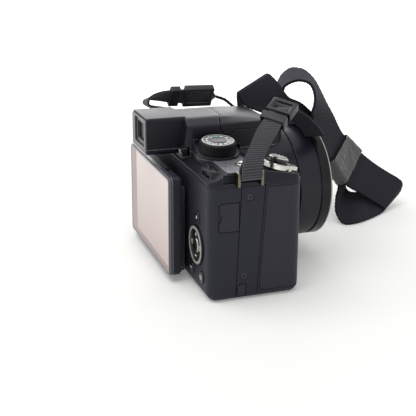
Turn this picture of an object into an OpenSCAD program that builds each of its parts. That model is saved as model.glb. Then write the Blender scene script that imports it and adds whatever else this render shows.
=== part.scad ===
// Bridge camera with a tilting screen, a pop-up flash, a long zoom lens and a neck strap.
// Millimetres. X runs to the grip, Y to the lens front, Z up. The origin is the tripod socket's mouth.

/* [Body] */
// Lens axis to the left end
left_x = 53; // [50:0.5:58]
// Lens axis to the grip end
grip_x = 61.5; // [60:0.5:66]
// Tripod socket to the rear face
rear_y = 20; // [19:0.5:22]
// Tripod socket to the front face beside the lens
front_y = 12; // [11:0.5:14]
// Tripod socket to the front of the grip
grip_y = 29; // [27:0.5:32]
// Lens axis to the finger side of the grip
grip_in_x = 39; // [38:0.5:40]
// Height of the seam under the top cover
seam_z = 59; // [58:0.5:60]
// Height of the top deck
deck_z = 66.5; // [66:0.25:67.5]
// Wall of the moulded covers
wall = 2; // [1.8:0.1:2.2]
// Open seam between two covers
seam = 0.3; // [0.2:0.05:0.4]
// Gap round a piece that moves
gap = 0.3; // [0.25:0.05:0.35]
// Running clearance of a pin or shaft
run = 0.04; // [0.02:0.01:0.08]
// Thickness of the grip rubber
rubber_t = 0.9; // [0.6:0.1:1.2]

/* [Screen] */
// Width of the screen unit
screen_w = 78; // [74:0.5:80]
// Height of the screen unit
screen_h = 53.5; // [52:0.5:55]
// Thickness of the screen unit
screen_t = 6.9; // [6.5:0.1:7.5]
// Lens axis to the right edge of the screen
screen_right = 31.2; // [28:0.2:32]
// Floor to the lower edge of the screen
screen_z = 3.5; // [3.2:0.1:5]
// Thickness of the swing bracket
bracket_t = 2; // [1.8:0.1:2.2]

/* [Viewfinder] */
// Width of the viewfinder block
evf_w = 28.5; // [26:0.5:30]
// Right side of the viewfinder block from the lens axis
evf_right = 9.6; // [8:0.2:11]
// Underside of the viewfinder block
evf_z = 63.5; // [63:0.25:65]
// Height of the viewfinder block
evf_h = 19.6; // [18:0.2:20]
// Rear face of the eyepiece behind the rear cover
evf_out = 17.2; // [15:0.2:19]

/* [Hump and flash] */
// Right side of the hump from the lens axis
hump_right = 18.3; // [17:0.1:19]
// Left side of the hump from the lens axis
hump_left = 21; // [20:0.5:23]
// Side edges of the hump above the lens barrel
hump_rise = 8.15; // [7.5:0.05:9]
// Crown of the hump above its side edges
hump_crown = 3.3; // [2.5:0.1:4]
// Front of the flash lid
hump_front = 39; // [37:0.5:40]
// Thickness of the flash lid at its sides
lid_t = 3; // [2.5:0.1:3.5]

/* [Lens] */
// Height of the lens axis
lens_z = 40; // [39.5:0.1:40.5]
// Radius of the fixed barrel
lens_r = 31.35; // [31:0.05:32]
// Front rim of the fixed barrel
lens_front = 61.5; // [58:0.5:64]
// Wall of the fixed barrel
barrel_wall = 2.5; // [2.2:0.1:3]
// Travel of the first zoom barrel
zoom_travel = 26; // [20:1:30]

/* [Controls] */
// Radius of the mode dial
mode_r = 9.5; // [9:0.1:10]
// Height of the mode dial
mode_h = 5.6; // [5:0.1:6.5]
// Mode dial from the lens axis
mode_x = 29.5; // [29:0.1:31]
// Mode dial behind the tripod socket
mode_y = 4.7; // [4:0.1:6]
// Lean of the mode dial to the grip end
mode_tilt = 6; // [4:0.5:8]
// Radius of the command dial
command_r = 6.5; // [6:0.1:6.8]
// Radius of the zoom lever
lever_r = 8; // [7.5:0.1:8.5]
// Radius of the shutter button
shutter_r = 5.2; // [4.8:0.1:5.6]
// Forward tilt of the shutter button
shutter_tilt = 15; // [12:1:18]
// Radius of the four-way selector
selector_r = 10; // [9.5:0.1:10.4]
// Radius of the confirm button
confirm_r = 4; // [3.5:0.1:4.5]
// Radius of the small round buttons
button_r = 3; // [2.5:0.1:3.2]
// Travel of the small buttons
press = 0.7; // [0.5:0.05:0.8]

/* [Battery] */
// Thickness of the battery
battery_x = 8.5; // [8:0.1:9]
// Width of the battery
battery_y = 24; // [22:0.5:24.5]
// Height of the battery
battery_z = 47; // [44:0.5:48]

/* [Tripod socket] */
// Radius of the tripod thread
tripod_r = 3.175; // [3.1:0.005:3.3]
// Depth of the tripod thread
tripod_depth = 5.5; // [5:0.1:5.5]

/* [Strap] */
// Width of the narrow webbing
web_w = 10; // [9:0.5:10.5]
// Thickness of the narrow webbing
web_t = 1.2; // [1:0.1:1.4]
// Width of the neck band
band_w = 30; // [26:0.5:31]
// Thickness of the neck band
band_t = 1.6; // [1.2:0.1:1.8]

/* [Hidden] */
$fn = 64;
arc_steps = 6;
facet_fn = 32;
far = 200;

body_black = "#26262b";
deck_black = "#2b2b31";
rubber_black = "#1f1f23";
satin_black = "#1b1b20";
chrome = "#d9d9d6";
steel = "#b4b0a4";
board_green = "#23513a";
glass_tint = "#dcd4d6";

// Outline with each corner rounded by its own radius
function unit(v) = v / norm(v);
function corner_arc(a, b, c, r) =
    let (
        u = unit(a - b),
        v = unit(c - b),
        half = acos(u * v) / 2,
        centre = b + unit(u + v) * r / sin(half),
        p = b + u * r / tan(half) - centre,
        q = b + v * r / tan(half) - centre,
        start = atan2(p.y, p.x),
        turn = (atan2(q.y, q.x) - start + 540) % 360 - 180
    )
    r <= 0 ? [b] : [for (k = [0:arc_steps])
        let (t = start + turn * k / arc_steps)
        centre + r * [cos(t), sin(t)]];
function rounded(pts, radii) =
    let (n = len(pts))
    [for (k = [0:n - 1]) each corner_arc(pts[(k + n - 1) % n], pts[k], pts[(k + 1) % n], radii[k])];

module along_x(x0, x1) translate([x0, 0, 0]) rotate([90, 0, 90]) linear_extrude(x1 - x0) children();
module along_y(y0, y1) translate([0, y1, 0]) rotate([90, 0, 0]) linear_extrude(y1 - y0) children();
module along_z(z0, z1) translate([0, 0, z0]) linear_extrude(z1 - z0) children();
module box(x, y, z) translate([x[0], y[0], z[0]]) cube([x[1] - x[0], y[1] - y[0], z[1] - z[0]]);
module rod_x(r, x, y, z) translate([x[0], y, z]) rotate([0, 90, 0]) cylinder(r = r, h = x[1] - x[0]);
module rod_y(r, x, y, z) translate([x, y[0], z]) rotate([-90, 0, 0]) cylinder(r = r, h = y[1] - y[0]);
module rod_z(r, x, y, z) translate([x, y, z[0]]) cylinder(r = r, h = z[1] - z[0]);
module plate_y(x, y, z, r)
    along_y(y[0], y[1]) polygon(
        rounded([[x[0], z[0]], [x[1], z[0]], [x[1], z[1]], [x[0], z[1]]], [r, r, r, r])
    );
module lens_turn() translate([0, 0, lens_z]) rotate([-90, 0, 0]) rotate_extrude() children();

// Outer form of the body below the top seam, drawn in by an inset
left_r = 8;
rear_r = 5.5;
grip_r = 5.5;
grip_in_r = 7;
valley_r = 5;
valley_x = 4;
edge_r = 4.8;
function plan_points(i) = rounded(
    [
        [-left_x + i, -rear_y + i], [grip_x - i, -rear_y + i], [grip_x - i, grip_y - i],
        [grip_in_x + i, grip_y - i], [grip_in_x - valley_x + i, front_y - i], [-left_x + i, front_y - i]
    ],
    [left_r - i, rear_r - i, grip_r - i, grip_in_r - i, valley_r + i, left_r - i]
);
function edge(i) = max(edge_r - i, 0.5);
module body_form(i, z1) {
    difference() {
        intersection() {
            along_z(0, z1) polygon(plan_points(i));
            along_y(-far, far) polygon(rounded(
                [[-left_x + i, i], [grip_x - i, i], [grip_x - i, far], [-left_x + i, far]],
                [edge(i), edge(i), 0, 0]
            ));
            along_x(-far, far) polygon(rounded(
                [[-rear_y + i, i], [grip_y - i, i], [grip_y - i, far], [-rear_y + i, far]],
                [edge(i), edge(i), 0, 0]
            ));
        }
        corner_trim([grip_x - rear_r, rear_r - rear_y], [1, -1], rear_r, i);
        corner_trim([grip_x - grip_r, grip_y - grip_r], [1, 1], grip_r, i);
        corner_trim([left_r - left_x, left_r - rear_y], [-1, -1], left_r, i);
        corner_trim([left_r - left_x, front_y - left_r], [-1, 1], left_r, i);
    }
}
// What a lower corner loses where the rounded base edges meet; the slack keeps faces from falling together
corner_slack = 0.04;
module corner_trim(at, side, r, i) {
    translate([at.x, at.y, i])
    difference() {
        box(
            [min(0, side.x * far), max(0, side.x * far)], [min(0, side.y * far), max(0, side.y * far)],
            [-1, edge(i)]
        );
        rotate_extrude() polygon(rounded(
            [
                [0, -corner_slack], [r - i + corner_slack, -corner_slack],
                [r - i + corner_slack, edge(i) + 2], [0, edge(i) + 2]
            ],
            [0, edge(i), 0, 0]
        ));
    }
}
module body_shell() {
    difference() {
        body_form(0, seam_z);
        body_form(wall, seam_z + 1);
    }
}

// Leaning seams on the grip end, as Y at the floor and at the top seam
rear_seam = [-6.3, -3.8];
front_seam = [4.9, 8.6];
function seam_y(line, z) = line[0] + (line[1] - line[0]) * z / seam_z;
module between(lo, hi)
    along_x(-far, far) polygon([[lo[0], 0], [hi[0], 0], [hi[1], seam_z], [lo[1], seam_z]]);
function shifted(line, d) = [line[0] + d, line[1] + d];

// Screen, bracket and their hinge lines
screen_left = screen_right - screen_w;
screen_back = -rear_y - bracket_t - 2.4;
screen_front = screen_back - screen_t;
screen_top = screen_z + screen_h;
bracket_back = -rear_y - 1.4;
knuckle_r = 1.9;
hinge_pin_r = 1;
arm_axis_y = -rear_y - 2.2;
arm_axis_z = screen_z + 1.7;
tilt_axis_y = screen_back - 1.6;
tilt_axis_z = screen_top - 3.4;
hinge_spread = 46;
hinge_x = [for (s = [-1, 1]) (screen_left + screen_right) / 2 + s * hinge_spread / 2];
ear_w = 4;
frame_t = 2.3;

// Viewfinder block
evf_left = evf_right - evf_w;
evf_top = evf_z + evf_h;
evf_rear = -rear_y - evf_out;
evf_front = -15.5;
evf_wall = 1.6;
window_w = 15;
window_h = 10;
eyepiece_t = 2.2;
window_x = (evf_left + evf_right) / 2 + 1.5;
window_z = (evf_z + evf_top) / 2 + 1;

// Hump heights, flash hinge line and split
hump_edge_z = lens_z + lens_r + hump_rise;
hump_top_z = hump_edge_z + hump_crown;
hump_shoulder = 8;
flash_axis_y = 5.5;
flash_sink = 4.4;
flash_axis_z = hump_top_z - flash_sink;
flash_round = flash_sink - 0.1;
lid_z = hump_edge_z - lid_t;
nose_y = hump_front - 5;
flash_block_y = [16, nose_y - 0.8];
flash_block_x = [-14, 11];
flash_block_z = lens_z + lens_r + 1.4;
flash_knuckle_x = [-9, 6];
flash_knuckle_w = 4;
flash_knuckle_r = 2.2;
flash_pin_r = 0.8;

// Mode dial, command dial, power and shutter places
plinth_z = deck_z + 2.25;
mode_shaft_r = 2.5;
command_x = 48.5;
facet_run = 9.5;
facet_low = 2.2;
facet_rise = deck_z - seam_z - facet_low;
facet_tilt = atan2(facet_rise, facet_run);
command_sink = 5;
command_w = 5;
command_shaft_r = 1.2;
power_x = 49;
power_y = 1.5;
power_r = 3.6;
slope_y = 6;
shutter_x = 52;
shutter_y = 17.8;
shutter_z = deck_z - (shutter_y - slope_y) * tan(shutter_tilt);
post_r = 4.6;
stem_r = 3.5;

// Rear controls, as X and Z
selector_x = 42.7;
selector_z = 24.6;
play_at = [43.9, 39.7];
menu_at = [35.2, 9.8];
delete_at = [50.5, 10.2];
board_y = -rear_y + wall + 0.8;
monitor_x = 14.5;
monitor_z = 66.3;

// Grip end: connector door, flap and screws
door_y = [-15.2, -4.9];
door_z = [36.8, 51.2];
door_t = 1.4;
flap_y = [-5.2, -0.9];
flap_z = [2, 8.4];

// Battery bay
bay_wall = 1;
bay_x0 = grip_in_x + wall + 0.8;
bay_y0 = -3.4;
bay_z0 = 4.2;
card_x = 2.1;
card_z = 32;
bay_x1 = bay_x0 + bay_wall * 3 + battery_x + card_x + 4 * gap;
bay_y1 = bay_y0 + 2 * bay_wall + battery_y + 2 * gap;
bay_z1 = bay_z0 + battery_z + bay_wall + 2 * gap;
hatch_t = 1.6;
hatch_axis_y = -2.2;
hatch_pin_r = 0.8;
hatch_x = [bay_x0 + 0.2, bay_x1 - 0.2];
hatch_y1 = bay_y1 + 0.4;

// Lens sections along the axis
flange_r = lens_r + 2.1;
flange_y = [front_y - wall - 2, front_y - wall - seam];
shroud_front = lens_front - 19.5;
ring_front = lens_front - 6.5;
barrel_in = lens_r - barrel_wall;
lip_r = barrel_in - 0.45;
outer_r = lip_r - 0.35;
zoom_wall = 1.85;
inner_r = outer_r - zoom_wall - 0.35;

// Local frame of the mode dial: the plinth's top is at zero
module mode_frame() translate([mode_x, -mode_y, plinth_z]) rotate([0, mode_tilt, 0]) children();
module shutter_frame()
    translate([shutter_x, shutter_y, shutter_z]) rotate([-shutter_tilt, 0, 0]) children();
// Local frame of the command dial: Z runs up the facet, Y into the body
module command_frame()
    translate([command_x, -rear_y + facet_run / 2, seam_z + facet_low + facet_rise / 2])
        rotate([facet_tilt - 90, 0, 0])
            translate([0, command_sink, 0]) children();
module round_grooves(count, r, cut, z)
    for (k = [0:count - 1]) rotate([0, 0, k * 360 / count]) rod_z(cut, r, 0, z);

// Covers

module rear_hole(at, r) rod_y(r, at[0], [-rear_y - 1, -rear_y + wall + 1], at[1]);

module rear_cover() {
    color(body_black)
    difference() {
        union() {
            intersection() {
                body_shell();
                between([-far, -far], shifted(rear_seam, -seam / 2));
            }
            bracket_ears();
            for (x = [-42, 24], z = [10, 52])
                rod_y(2, x, [-rear_y + wall - 0.1, -rear_y + wall + 2], z);
            for (x = [33, 54], z = [5.5, 44])
                rod_y(1.2, x, [-rear_y + wall - 0.1, board_y], z);
        }
        rear_hole([selector_x, selector_z], selector_r + gap);
        for (at = [play_at, menu_at, delete_at]) rear_hole(at, button_r + gap);
        thumb_scoop();
        boss_clearance();
        end_pocket(door_y, door_z, door_t);
        for (z = socket_rows) box(
            [grip_x - wall - 1, grip_x], socket_y(0.3), [z - 0.3, z + socket_h + 0.3]
        );
    }
}

module bracket_ears() {
    difference() {
        for (x = hinge_x) {
            rod_x(knuckle_r, [x - ear_w / 2, x + ear_w / 2], arm_axis_y, arm_axis_z);
            box(
                [x - ear_w / 2, x + ear_w / 2], [arm_axis_y, -rear_y + 0.5],
                [arm_axis_z - knuckle_r, arm_axis_z + knuckle_r]
            );
        }
        rod_x(hinge_pin_r + 0.01, [-far, far], arm_axis_y, arm_axis_z);
    }
}

// Shallow hollow for the thumb at the upper corner of the rear face
module thumb_scoop()
    translate([grip_x + 17, -rear_y - 17, 56]) rotate([12, -10, 0]) cylinder(
        r = 23.2, h = 26, center = true
    );

end_round = 1.6;
function end_outline(y, z, g) = rounded(
    [[y[0] - g, z[0] - g], [y[1] + g, z[0] - g], [y[1] + g, z[1] + g], [y[0] - g, z[1] + g]],
    [end_round + g, 0.3, 0.3, end_round + g]
);
module end_pocket(y, z, t) along_x(grip_x - t - gap, grip_x + 1) polygon(end_outline(y, z, gap));

// The middle frame's tripod boss crosses both seams, so the covers leave room for it
tripod_flange_r = 5.5;
boss_r = tripod_flange_r + wall;
module boss_clearance() rod_z(boss_r + seam, 0, 0, [-1, tripod_depth + 2]);

module mid_frame() {
    color(body_black)
    difference() {
        union() {
            intersection() {
                body_shell();
                between(shifted(rear_seam, seam / 2), shifted(front_seam, -seam / 2));
            }
            rod_z(boss_r, 0, 0, [0, tripod_depth - 1]);
            for (x = [[hatch_x[0] - gap - 2, hatch_x[0] - gap], [hatch_x[1] + gap, hatch_x[1] + gap + 2]])
                box(x, [hatch_axis_y - 2, hatch_axis_y + 2], [0.5, hatch_t + 2]);
        }
        rod_z(tripod_flange_r + 0.02, 0, 0, [-1, tripod_depth + 2]);
        hatch_cut();
        rod_x(hatch_pin_r + 0.01, [hatch_x[0] - 2, hatch_x[1] + 2], hatch_axis_y, hatch_t);
        end_pocket(flap_y, flap_z, door_t);
        for (s = screw_places) screw_cut(s);
    }
}

module hatch_cut()
    box(
        [hatch_x[0] - gap, hatch_x[1] + gap], [hatch_axis_y - hatch_t - gap, hatch_y1 + gap],
        [-1, bay_z0 - 0.2]
    );

module front_cover() {
    color(body_black)
    difference() {
        intersection() {
            body_shell();
            between(shifted(front_seam, seam / 2), [far, far]);
        }
        rod_y(lens_r + seam, 0, [0, far], lens_z);
        hatch_cut();
        boss_clearance();
        rubber_skin(rubber_gap);
    }
}

// Skin over the front of the grip, from the end strip round to the finger side
rubber_gap = 0.2;
rubber_z = [4, seam_z - 1.2];
rubber_in_x = grip_in_x - 1.5;
module rubber_skin(grow) {
    intersection() {
        difference() {
            body_form(grow > 0 ? -1 : 0, seam_z);
            body_form(rubber_t, seam_z + 1);
        }
        along_x(rubber_in_x - grow, grip_x + 2) polygon(rounded(
            [
                [seam_y(front_seam, rubber_z[0]) + 1.2 - grow, rubber_z[0] - grow],
                [far, rubber_z[0] - grow],
                [far, rubber_z[1] + grow],
                [seam_y(front_seam, rubber_z[1]) + 1.2 - grow, rubber_z[1] + grow]
            ],
            [3, 0, 0, 1]
        ));
    }
}
module grip_rubber() color(rubber_black) rubber_skin(0);

// Deck as a side outline that falls to the front by a tilt, and the higher lip along its grip end
lip_w = 1.2;
lip_tilt = 10;
module deck_outline(tilt) {
    z0 = seam_z + seam;
    front_z = deck_z - (grip_y - slope_y) * tan(tilt);
    polygon(rounded(
        [
            [-rear_y, z0], [grip_y, z0], [grip_y, front_z], [slope_y, deck_z],
            [-rear_y + facet_run, deck_z], [-rear_y, seam_z + facet_low]
        ],
        [0, 0, 1, 8, 2, 1]
    ));
}
module deck_form() {
    intersection() {
        along_z(seam_z, far) polygon(plan_points(0));
        union() {
            along_x(-far, far) deck_outline(shutter_tilt);
            along_x(grip_x - lip_w, far) deck_outline(lip_tilt);
        }
        along_y(-far, far) polygon(rounded(
            [[-left_x, seam_z], [grip_x, seam_z], [grip_x, deck_z], [-left_x, deck_z]], [0, 0, 0.9, 6]
        ));
    }
}

hump_rear = -rear_y + 0.8;
hump_rear_top = -16.4;
module hump_form() {
    z0 = seam_z + seam;
    intersection() {
        along_z(z0, far) polygon(rounded(
            [
                [-hump_left, hump_rear], [hump_right, hump_rear],
                [hump_right, hump_front], [-hump_left, hump_front]
            ],
            [6, 6, 9, 9]
        ));
        along_y(-far, far) polygon(rounded(
            [
                [-hump_left, z0], [hump_right, z0], [hump_right, hump_edge_z],
                [hump_right - hump_shoulder, hump_top_z], [hump_shoulder - hump_left, hump_top_z],
                [-hump_left, hump_edge_z]
            ],
            [0, 0, 2.2, 12, 12, 2.2]
        ));
        along_x(-far, far) polygon(rounded(
            [
                [hump_rear, z0], [hump_front, z0], [hump_front, hump_edge_z - 5],
                [hump_front - 9, hump_edge_z + 0.5],
                [flash_axis_y, hump_top_z], [hump_rear_top, hump_top_z]
            ],
            [0, 0, 3, 8, 20, 2]
        ));
    }
}
// Space of the flash head behind and above its split, with room to swing
module flash_space(g) {
    intersection() {
        union() {
            box([-far, far], [flash_axis_y, far], [lid_z - g, far]);
            rod_x(flash_round + 2 * g, [-far, far], flash_axis_y, flash_axis_z);
            box([-far, far], [flash_axis_y - g, far], [flash_axis_z, far]);
        }
        box([-far, far], [-far, far], [lid_z - 3 - g, far]);
    }
    box(
        [flash_block_x[0] - g, flash_block_x[1] + g], [flash_block_y[0] - g, flash_block_y[1] + g * 2.5],
        [flash_block_z - g, lid_z + 1]
    );
}

module top_cover() {
    color(deck_black)
    difference() {
        union() {
            deck_form();
            difference() {
                hump_form();
                flash_space(gap);
            }
            mode_plinth();
            intersection() {
                command_frame() rod_z(command_r + 2.4, 0, 0, [-command_w / 2 - 2.3, command_w / 2 + 2.3]);
                body_form(wall + 0.4, deck_z - 1);
            }
            shutter_frame() rod_z(lever_r + 0.5, 0, 0, [-1.5, 0.6]);
            shutter_frame() rod_z(post_r, 0, 0, [-1, 3.6]);
            for (x = flash_knuckle_x) flash_knuckle(x);
        }
        box([evf_left - seam, evf_right + seam], [-far, evf_front + seam], [evf_z - seam, far]);
        rod_y(lens_r + seam, 0, [flange_y[1], far], lens_z);
        rod_y(flange_r + seam, 0, [lens_base_y[0] - seam, front_y], lens_z);
        box([-left_x + 5, -hump_left - 3], [-rear_y + facet_run, front_y - 4], [seam_z, deck_z - 2.5]);
        box(
            [-hump_left + 3, hump_right - 3], [evf_front + 3, flash_axis_y - 7], [seam_z, hump_edge_z - 3]
        );
        mode_frame() rod_z(mode_shaft_r + run, 0, 0, [seam_z - plinth_z + 1, far]);
        mode_frame() rod_z(mode_r + gap, 0, 0, [0, far]);
        command_frame() rod_z(command_r + gap, 0, 0, [-command_w / 2 - gap, command_w / 2 + gap]);
        command_pocket();
        facet_groove();
        command_frame() rod_z(command_shaft_r + run, 0, 0, [-command_w / 2 - 2, command_w / 2 + 2]);
        rod_z(power_r + gap, power_x, power_y, [deck_z - 2.6, far]);
        shutter_frame() rod_z(stem_r + run, 0, 0, [-2.6, far]);
        rod_x(flash_pin_r + 0.01, flash_pin_x, flash_axis_y, flash_axis_z);
        monitor_pocket();
        for (s = [-1, 1]) lug_pocket(s);
    }
}
plinth_rim = 1.7;
index_y = [-14.2, -11.6];
index_z = [plinth_z + 1.8, plinth_z + 4.4];
module mode_plinth() {
    hull() {
        mode_frame() rod_z(mode_r + plinth_rim, 0, 0, [-4, 0], $fn = facet_fn);
        box(
            [hump_right - 2, hump_right], [-mode_y - mode_r, -mode_y + mode_r + 2.5],
            [deck_z - 2, plinth_z + 2.8]
        );
    }
    box([hump_right - 1, hump_right + 1.5], index_y, index_z);
}
module flash_knuckle(x) {
    w = flash_knuckle_w / 2;
    rod_x(flash_knuckle_r, [x - w, x + w], flash_axis_y, flash_axis_z);
    box(
        [x - w, x + w], [flash_axis_y - flash_knuckle_r, flash_axis_y + flash_knuckle_r],
        [lid_z - 5, flash_axis_z]
    );
}
flash_pin_x = [flash_knuckle_x[0] - 5, flash_knuckle_x[1] + 5];
// Rounded hollow round the command dial, and the seam of the facet on its left
pocket_half = [5.8, 3.7];
pocket_depth = 0.8;
module command_pocket()
    command_frame() plate_y(
        [-pocket_half[0], pocket_half[0]], [-command_sink - 1, pocket_depth - command_sink],
        [-pocket_half[1], pocket_half[1]], 1.8
    );
groove_x = 40;
groove_turn = -36;
module facet_groove()
    translate([groove_x - command_x, 0, 0]) command_frame()
        translate([0, -command_sink, 0]) rotate([0, groove_turn, 0]) cube(
            [0.6, 0.9, 2 * facet_run], center = true
        );

// Viewfinder

module evf_outline(i, y)
    plate_y([evf_left + i, evf_right - i], y, [evf_z + i, evf_top - i], max(2 - i, 0.4));
module evf_housing() {
    color(body_black)
    difference() {
        evf_outline(0, [evf_rear + 0.8, evf_front]);
        evf_outline(evf_wall, [evf_rear, evf_front - evf_wall]);
        rod_x(diopter_shaft_r + run, [evf_left - 1, evf_left + 3], diopter_y, diopter_z);
    }
}
module eyepiece_frame() {
    color(rubber_black)
    difference() {
        union() {
            evf_outline(1, [evf_rear, evf_rear + 0.8]);
            evf_outline(evf_wall + 0.15, [evf_rear + 0.8, evf_rear + eyepiece_t]);
        }
        plate_y(
            [window_x - window_w / 2, window_x + window_w / 2], [evf_rear - 1, evf_rear + 5],
            [window_z - window_h / 2, window_z + window_h / 2], 1
        );
        plate_y(
            [window_x - window_w / 2 - 2, window_x + window_w / 2 + 2], [evf_rear - 1, evf_rear + 1],
            [window_z - window_h / 2 - 2, window_z + window_h / 2 + 2], 1.6
        );
    }
}
module eyepiece_lens() {
    color(glass_tint)
    plate_y(
        [window_x - window_w / 2 - 1, window_x + window_w / 2 + 1],
        [evf_rear + eyepiece_t, evf_rear + eyepiece_t + 1.8],
        [window_z - window_h / 2 - 1, window_z + window_h / 2 + 1], 1.5
    );
}
module evf_display() {
    color("#1a1d24")
    plate_y(
        [window_x - 6, window_x + 6], [evf_front - evf_wall - 3, evf_front - evf_wall],
        [window_z - 4.5, window_z + 4.5], 0.5
    );
}
diopter_r = 4;
diopter_shaft_r = 1;
diopter_y = -rear_y - 8;
diopter_z = evf_z + 9;
module diopter_dial() {
    color(satin_black)
    difference() {
        union() {
            rod_x(diopter_r, [evf_left - gap - 1.4, evf_left - gap], diopter_y, diopter_z);
            rod_x(
                diopter_shaft_r, [evf_left - gap - 0.1, evf_left + evf_wall + 0.4], diopter_y, diopter_z
            );
        }
        translate([evf_left, diopter_y, diopter_z]) rotate([0, -90, 0]) round_grooves(
            20, diopter_r, 0.25, [-1, 3]
        );
    }
}

// Flash

module flash_head() {
    color(deck_black)
    difference() {
        union() {
            intersection() {
                hump_form();
                union() {
                    box([-far, far], [flash_axis_y, far], [lid_z, far]);
                    rod_x(flash_round, [-far, far], flash_axis_y, flash_axis_z);
                }
            }
            box(flash_block_x, flash_block_y, [flash_block_z, lid_z + 0.5]);
        }
        for (x = flash_knuckle_x)
            box(
                [x - flash_knuckle_w / 2 - gap, x + flash_knuckle_w / 2 + gap],
                [-far, flash_axis_y + flash_knuckle_r + gap],
                [lid_z - 9, flash_axis_z + flash_knuckle_r + gap]
            );
        rod_x(flash_pin_r + run, flash_pin_x, flash_axis_y, flash_axis_z);
        flash_mouth(0.1);
    }
}
module flash_mouth(g)
    box(
        [flash_block_x[0] + 2 - g, flash_block_x[1] - 2 + g],
        [flash_block_y[1] - 5 - g, flash_block_y[1] + 1],
        [flash_block_z + 0.6 - g, lid_z - 0.2 + g]
    );
module flash_window() {
    color("white")
    intersection() {
        flash_mouth(0);
        box([-far, far], [flash_block_y[1] - 1.6, flash_block_y[1]], [0, far]);
    }
}
module flash_tube() {
    color(chrome)
    difference() {
        intersection() {
            flash_mouth(0);
            box([-far, far], [flash_block_y[1] - 5, flash_block_y[1] - 1.8], [0, far]);
        }
        rod_x(
            1.2, [flash_block_x[0] + 3, flash_block_x[1] - 3], flash_block_y[1] - 1.8,
            (flash_block_z + lid_z) / 2
        );
    }
}
module flash_pin()
    color(steel) rod_x(
        flash_pin_r, [flash_pin_x[0] + 0.2, flash_pin_x[1] - 0.2], flash_axis_y, flash_axis_z
    );

// Top controls

module mode_dial() {
    top = gap + mode_h;
    color(satin_black)
    mode_frame()
    difference() {
        union() {
            rotate_extrude() polygon([
                [0, gap], [mode_r, gap], [mode_r, top - 0.8], [mode_r - 0.8, top], [0, top]
            ]);
            rod_z(mode_shaft_r, 0, 0, [seam_z - plinth_z + 3, gap + 0.1]);
        }
        round_grooves(36, mode_r, 0.35, [gap + 0.8, top + 1]);
        rod_z(mode_r - 1.1, 0, 0, [top - 0.5, far]);
    }
}
module mode_dial_cap() {
    color(chrome)
    mode_frame() rod_z(mode_r - 1.15, 0, 0, [gap + mode_h - 0.5, gap + mode_h + 0.05]);
}
module command_dial() {
    color(satin_black)
    command_frame() {
        difference() {
            rod_z(command_r, 0, 0, [-command_w / 2, command_w / 2]);
            round_grooves(22, command_r, 0.4, [-command_w, command_w]);
        }
        rod_z(command_shaft_r, 0, 0, [-command_w / 2 - 1.8, command_w / 2 + 1.8]);
    }
}
module power_button() {
    color(chrome)
    translate([power_x, power_y, deck_z])
    rotate_extrude() polygon([
        [0, -1.6], [power_r, -1.6], [power_r, 0.5], [power_r - 0.5, 0.8], [0, 0.6]
    ]);
}
module shutter_button() {
    color(chrome)
    shutter_frame() {
        rotate_extrude() polygon([
            [0, 4.9], [shutter_r - 0.3, 4.9], [shutter_r, 5.2], [shutter_r, 5.9], [shutter_r - 0.8, 6.6],
            [0, 6.2]
        ]);
        rod_z(stem_r, 0, 0, [-1.2, 5]);
    }
}
module zoom_lever() {
    color(chrome)
    shutter_frame() {
        difference() {
            union() {
                rotate_extrude() polygon([
                    [post_r + 0.1, 0.9], [lever_r - 0.4, 0.9], [lever_r, 1.3], [lever_r, 3.3],
                    [lever_r - 0.6, 3.9], [post_r + 0.1, 3.9]
                ]);
                box([-2, 2], [post_r + 1, lever_r + 2.6], [1.4, 3.4]);
            }
            for (x = [-1.2, 0, 1.2]) box([x - 0.25, x + 0.25], [lever_r + 0.6, lever_r + 3], [3, 4]);
        }
    }
}

// Lens

module lens_shroud() {
    color(satin_black)
    lens_turn() polygon([
        [barrel_in, flange_y[0]], [flange_r, flange_y[0]], [flange_r, flange_y[1]], [lens_r, flange_y[1]],
        [lens_r, shroud_front - 0.4], [lens_r - 0.4, shroud_front], [barrel_in, shroud_front]
    ]);
}
module lens_ring() {
    color(satin_black)
    lens_turn() polygon([
        [barrel_in, shroud_front + seam], [lens_r - 0.4, shroud_front + seam],
        [lens_r, shroud_front + seam + 0.4],
        [lens_r, ring_front - 1.6], [lens_r - 0.7, ring_front - 1.2], [lens_r - 0.7, ring_front],
        [barrel_in, ring_front]
    ]);
}
module front_ring() {
    color("#101014")
    lens_turn() polygon([
        [lip_r, ring_front + seam], [lens_r - 0.3, ring_front + seam], [lens_r, ring_front + seam + 0.5],
        [lens_r, lens_front - 1], [lens_r - 0.8, lens_front], [lip_r + 1, lens_front],
        [lip_r, lens_front - 1.4]
    ]);
}
zoom_rear = flange_y[1] + 5;
zoom_front = lens_front - 2.4;
module zoom_barrel_outer() {
    color(satin_black)
    lens_turn() polygon([
        [outer_r - zoom_wall, zoom_rear], [outer_r, zoom_rear], [outer_r, zoom_front - 0.5],
        [outer_r - 0.5, zoom_front], [outer_r - zoom_wall, zoom_front]
    ]);
}
element_r = inner_r - 5.8;
module zoom_barrel_inner() {
    color(satin_black)
    lens_turn() polygon([
        [inner_r - zoom_wall, zoom_rear + 2], [inner_r, zoom_rear + 2], [inner_r, zoom_front - 0.8],
        [inner_r - 0.5, zoom_front - 0.4], [element_r - 1, zoom_front - 2.6],
        [element_r - 1, zoom_front - 3.6],
        [element_r + 0.3, zoom_front - 3.6], [element_r + 0.3, zoom_front - 9],
        [inner_r - zoom_wall, zoom_front - 10]
    ]);
}
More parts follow.
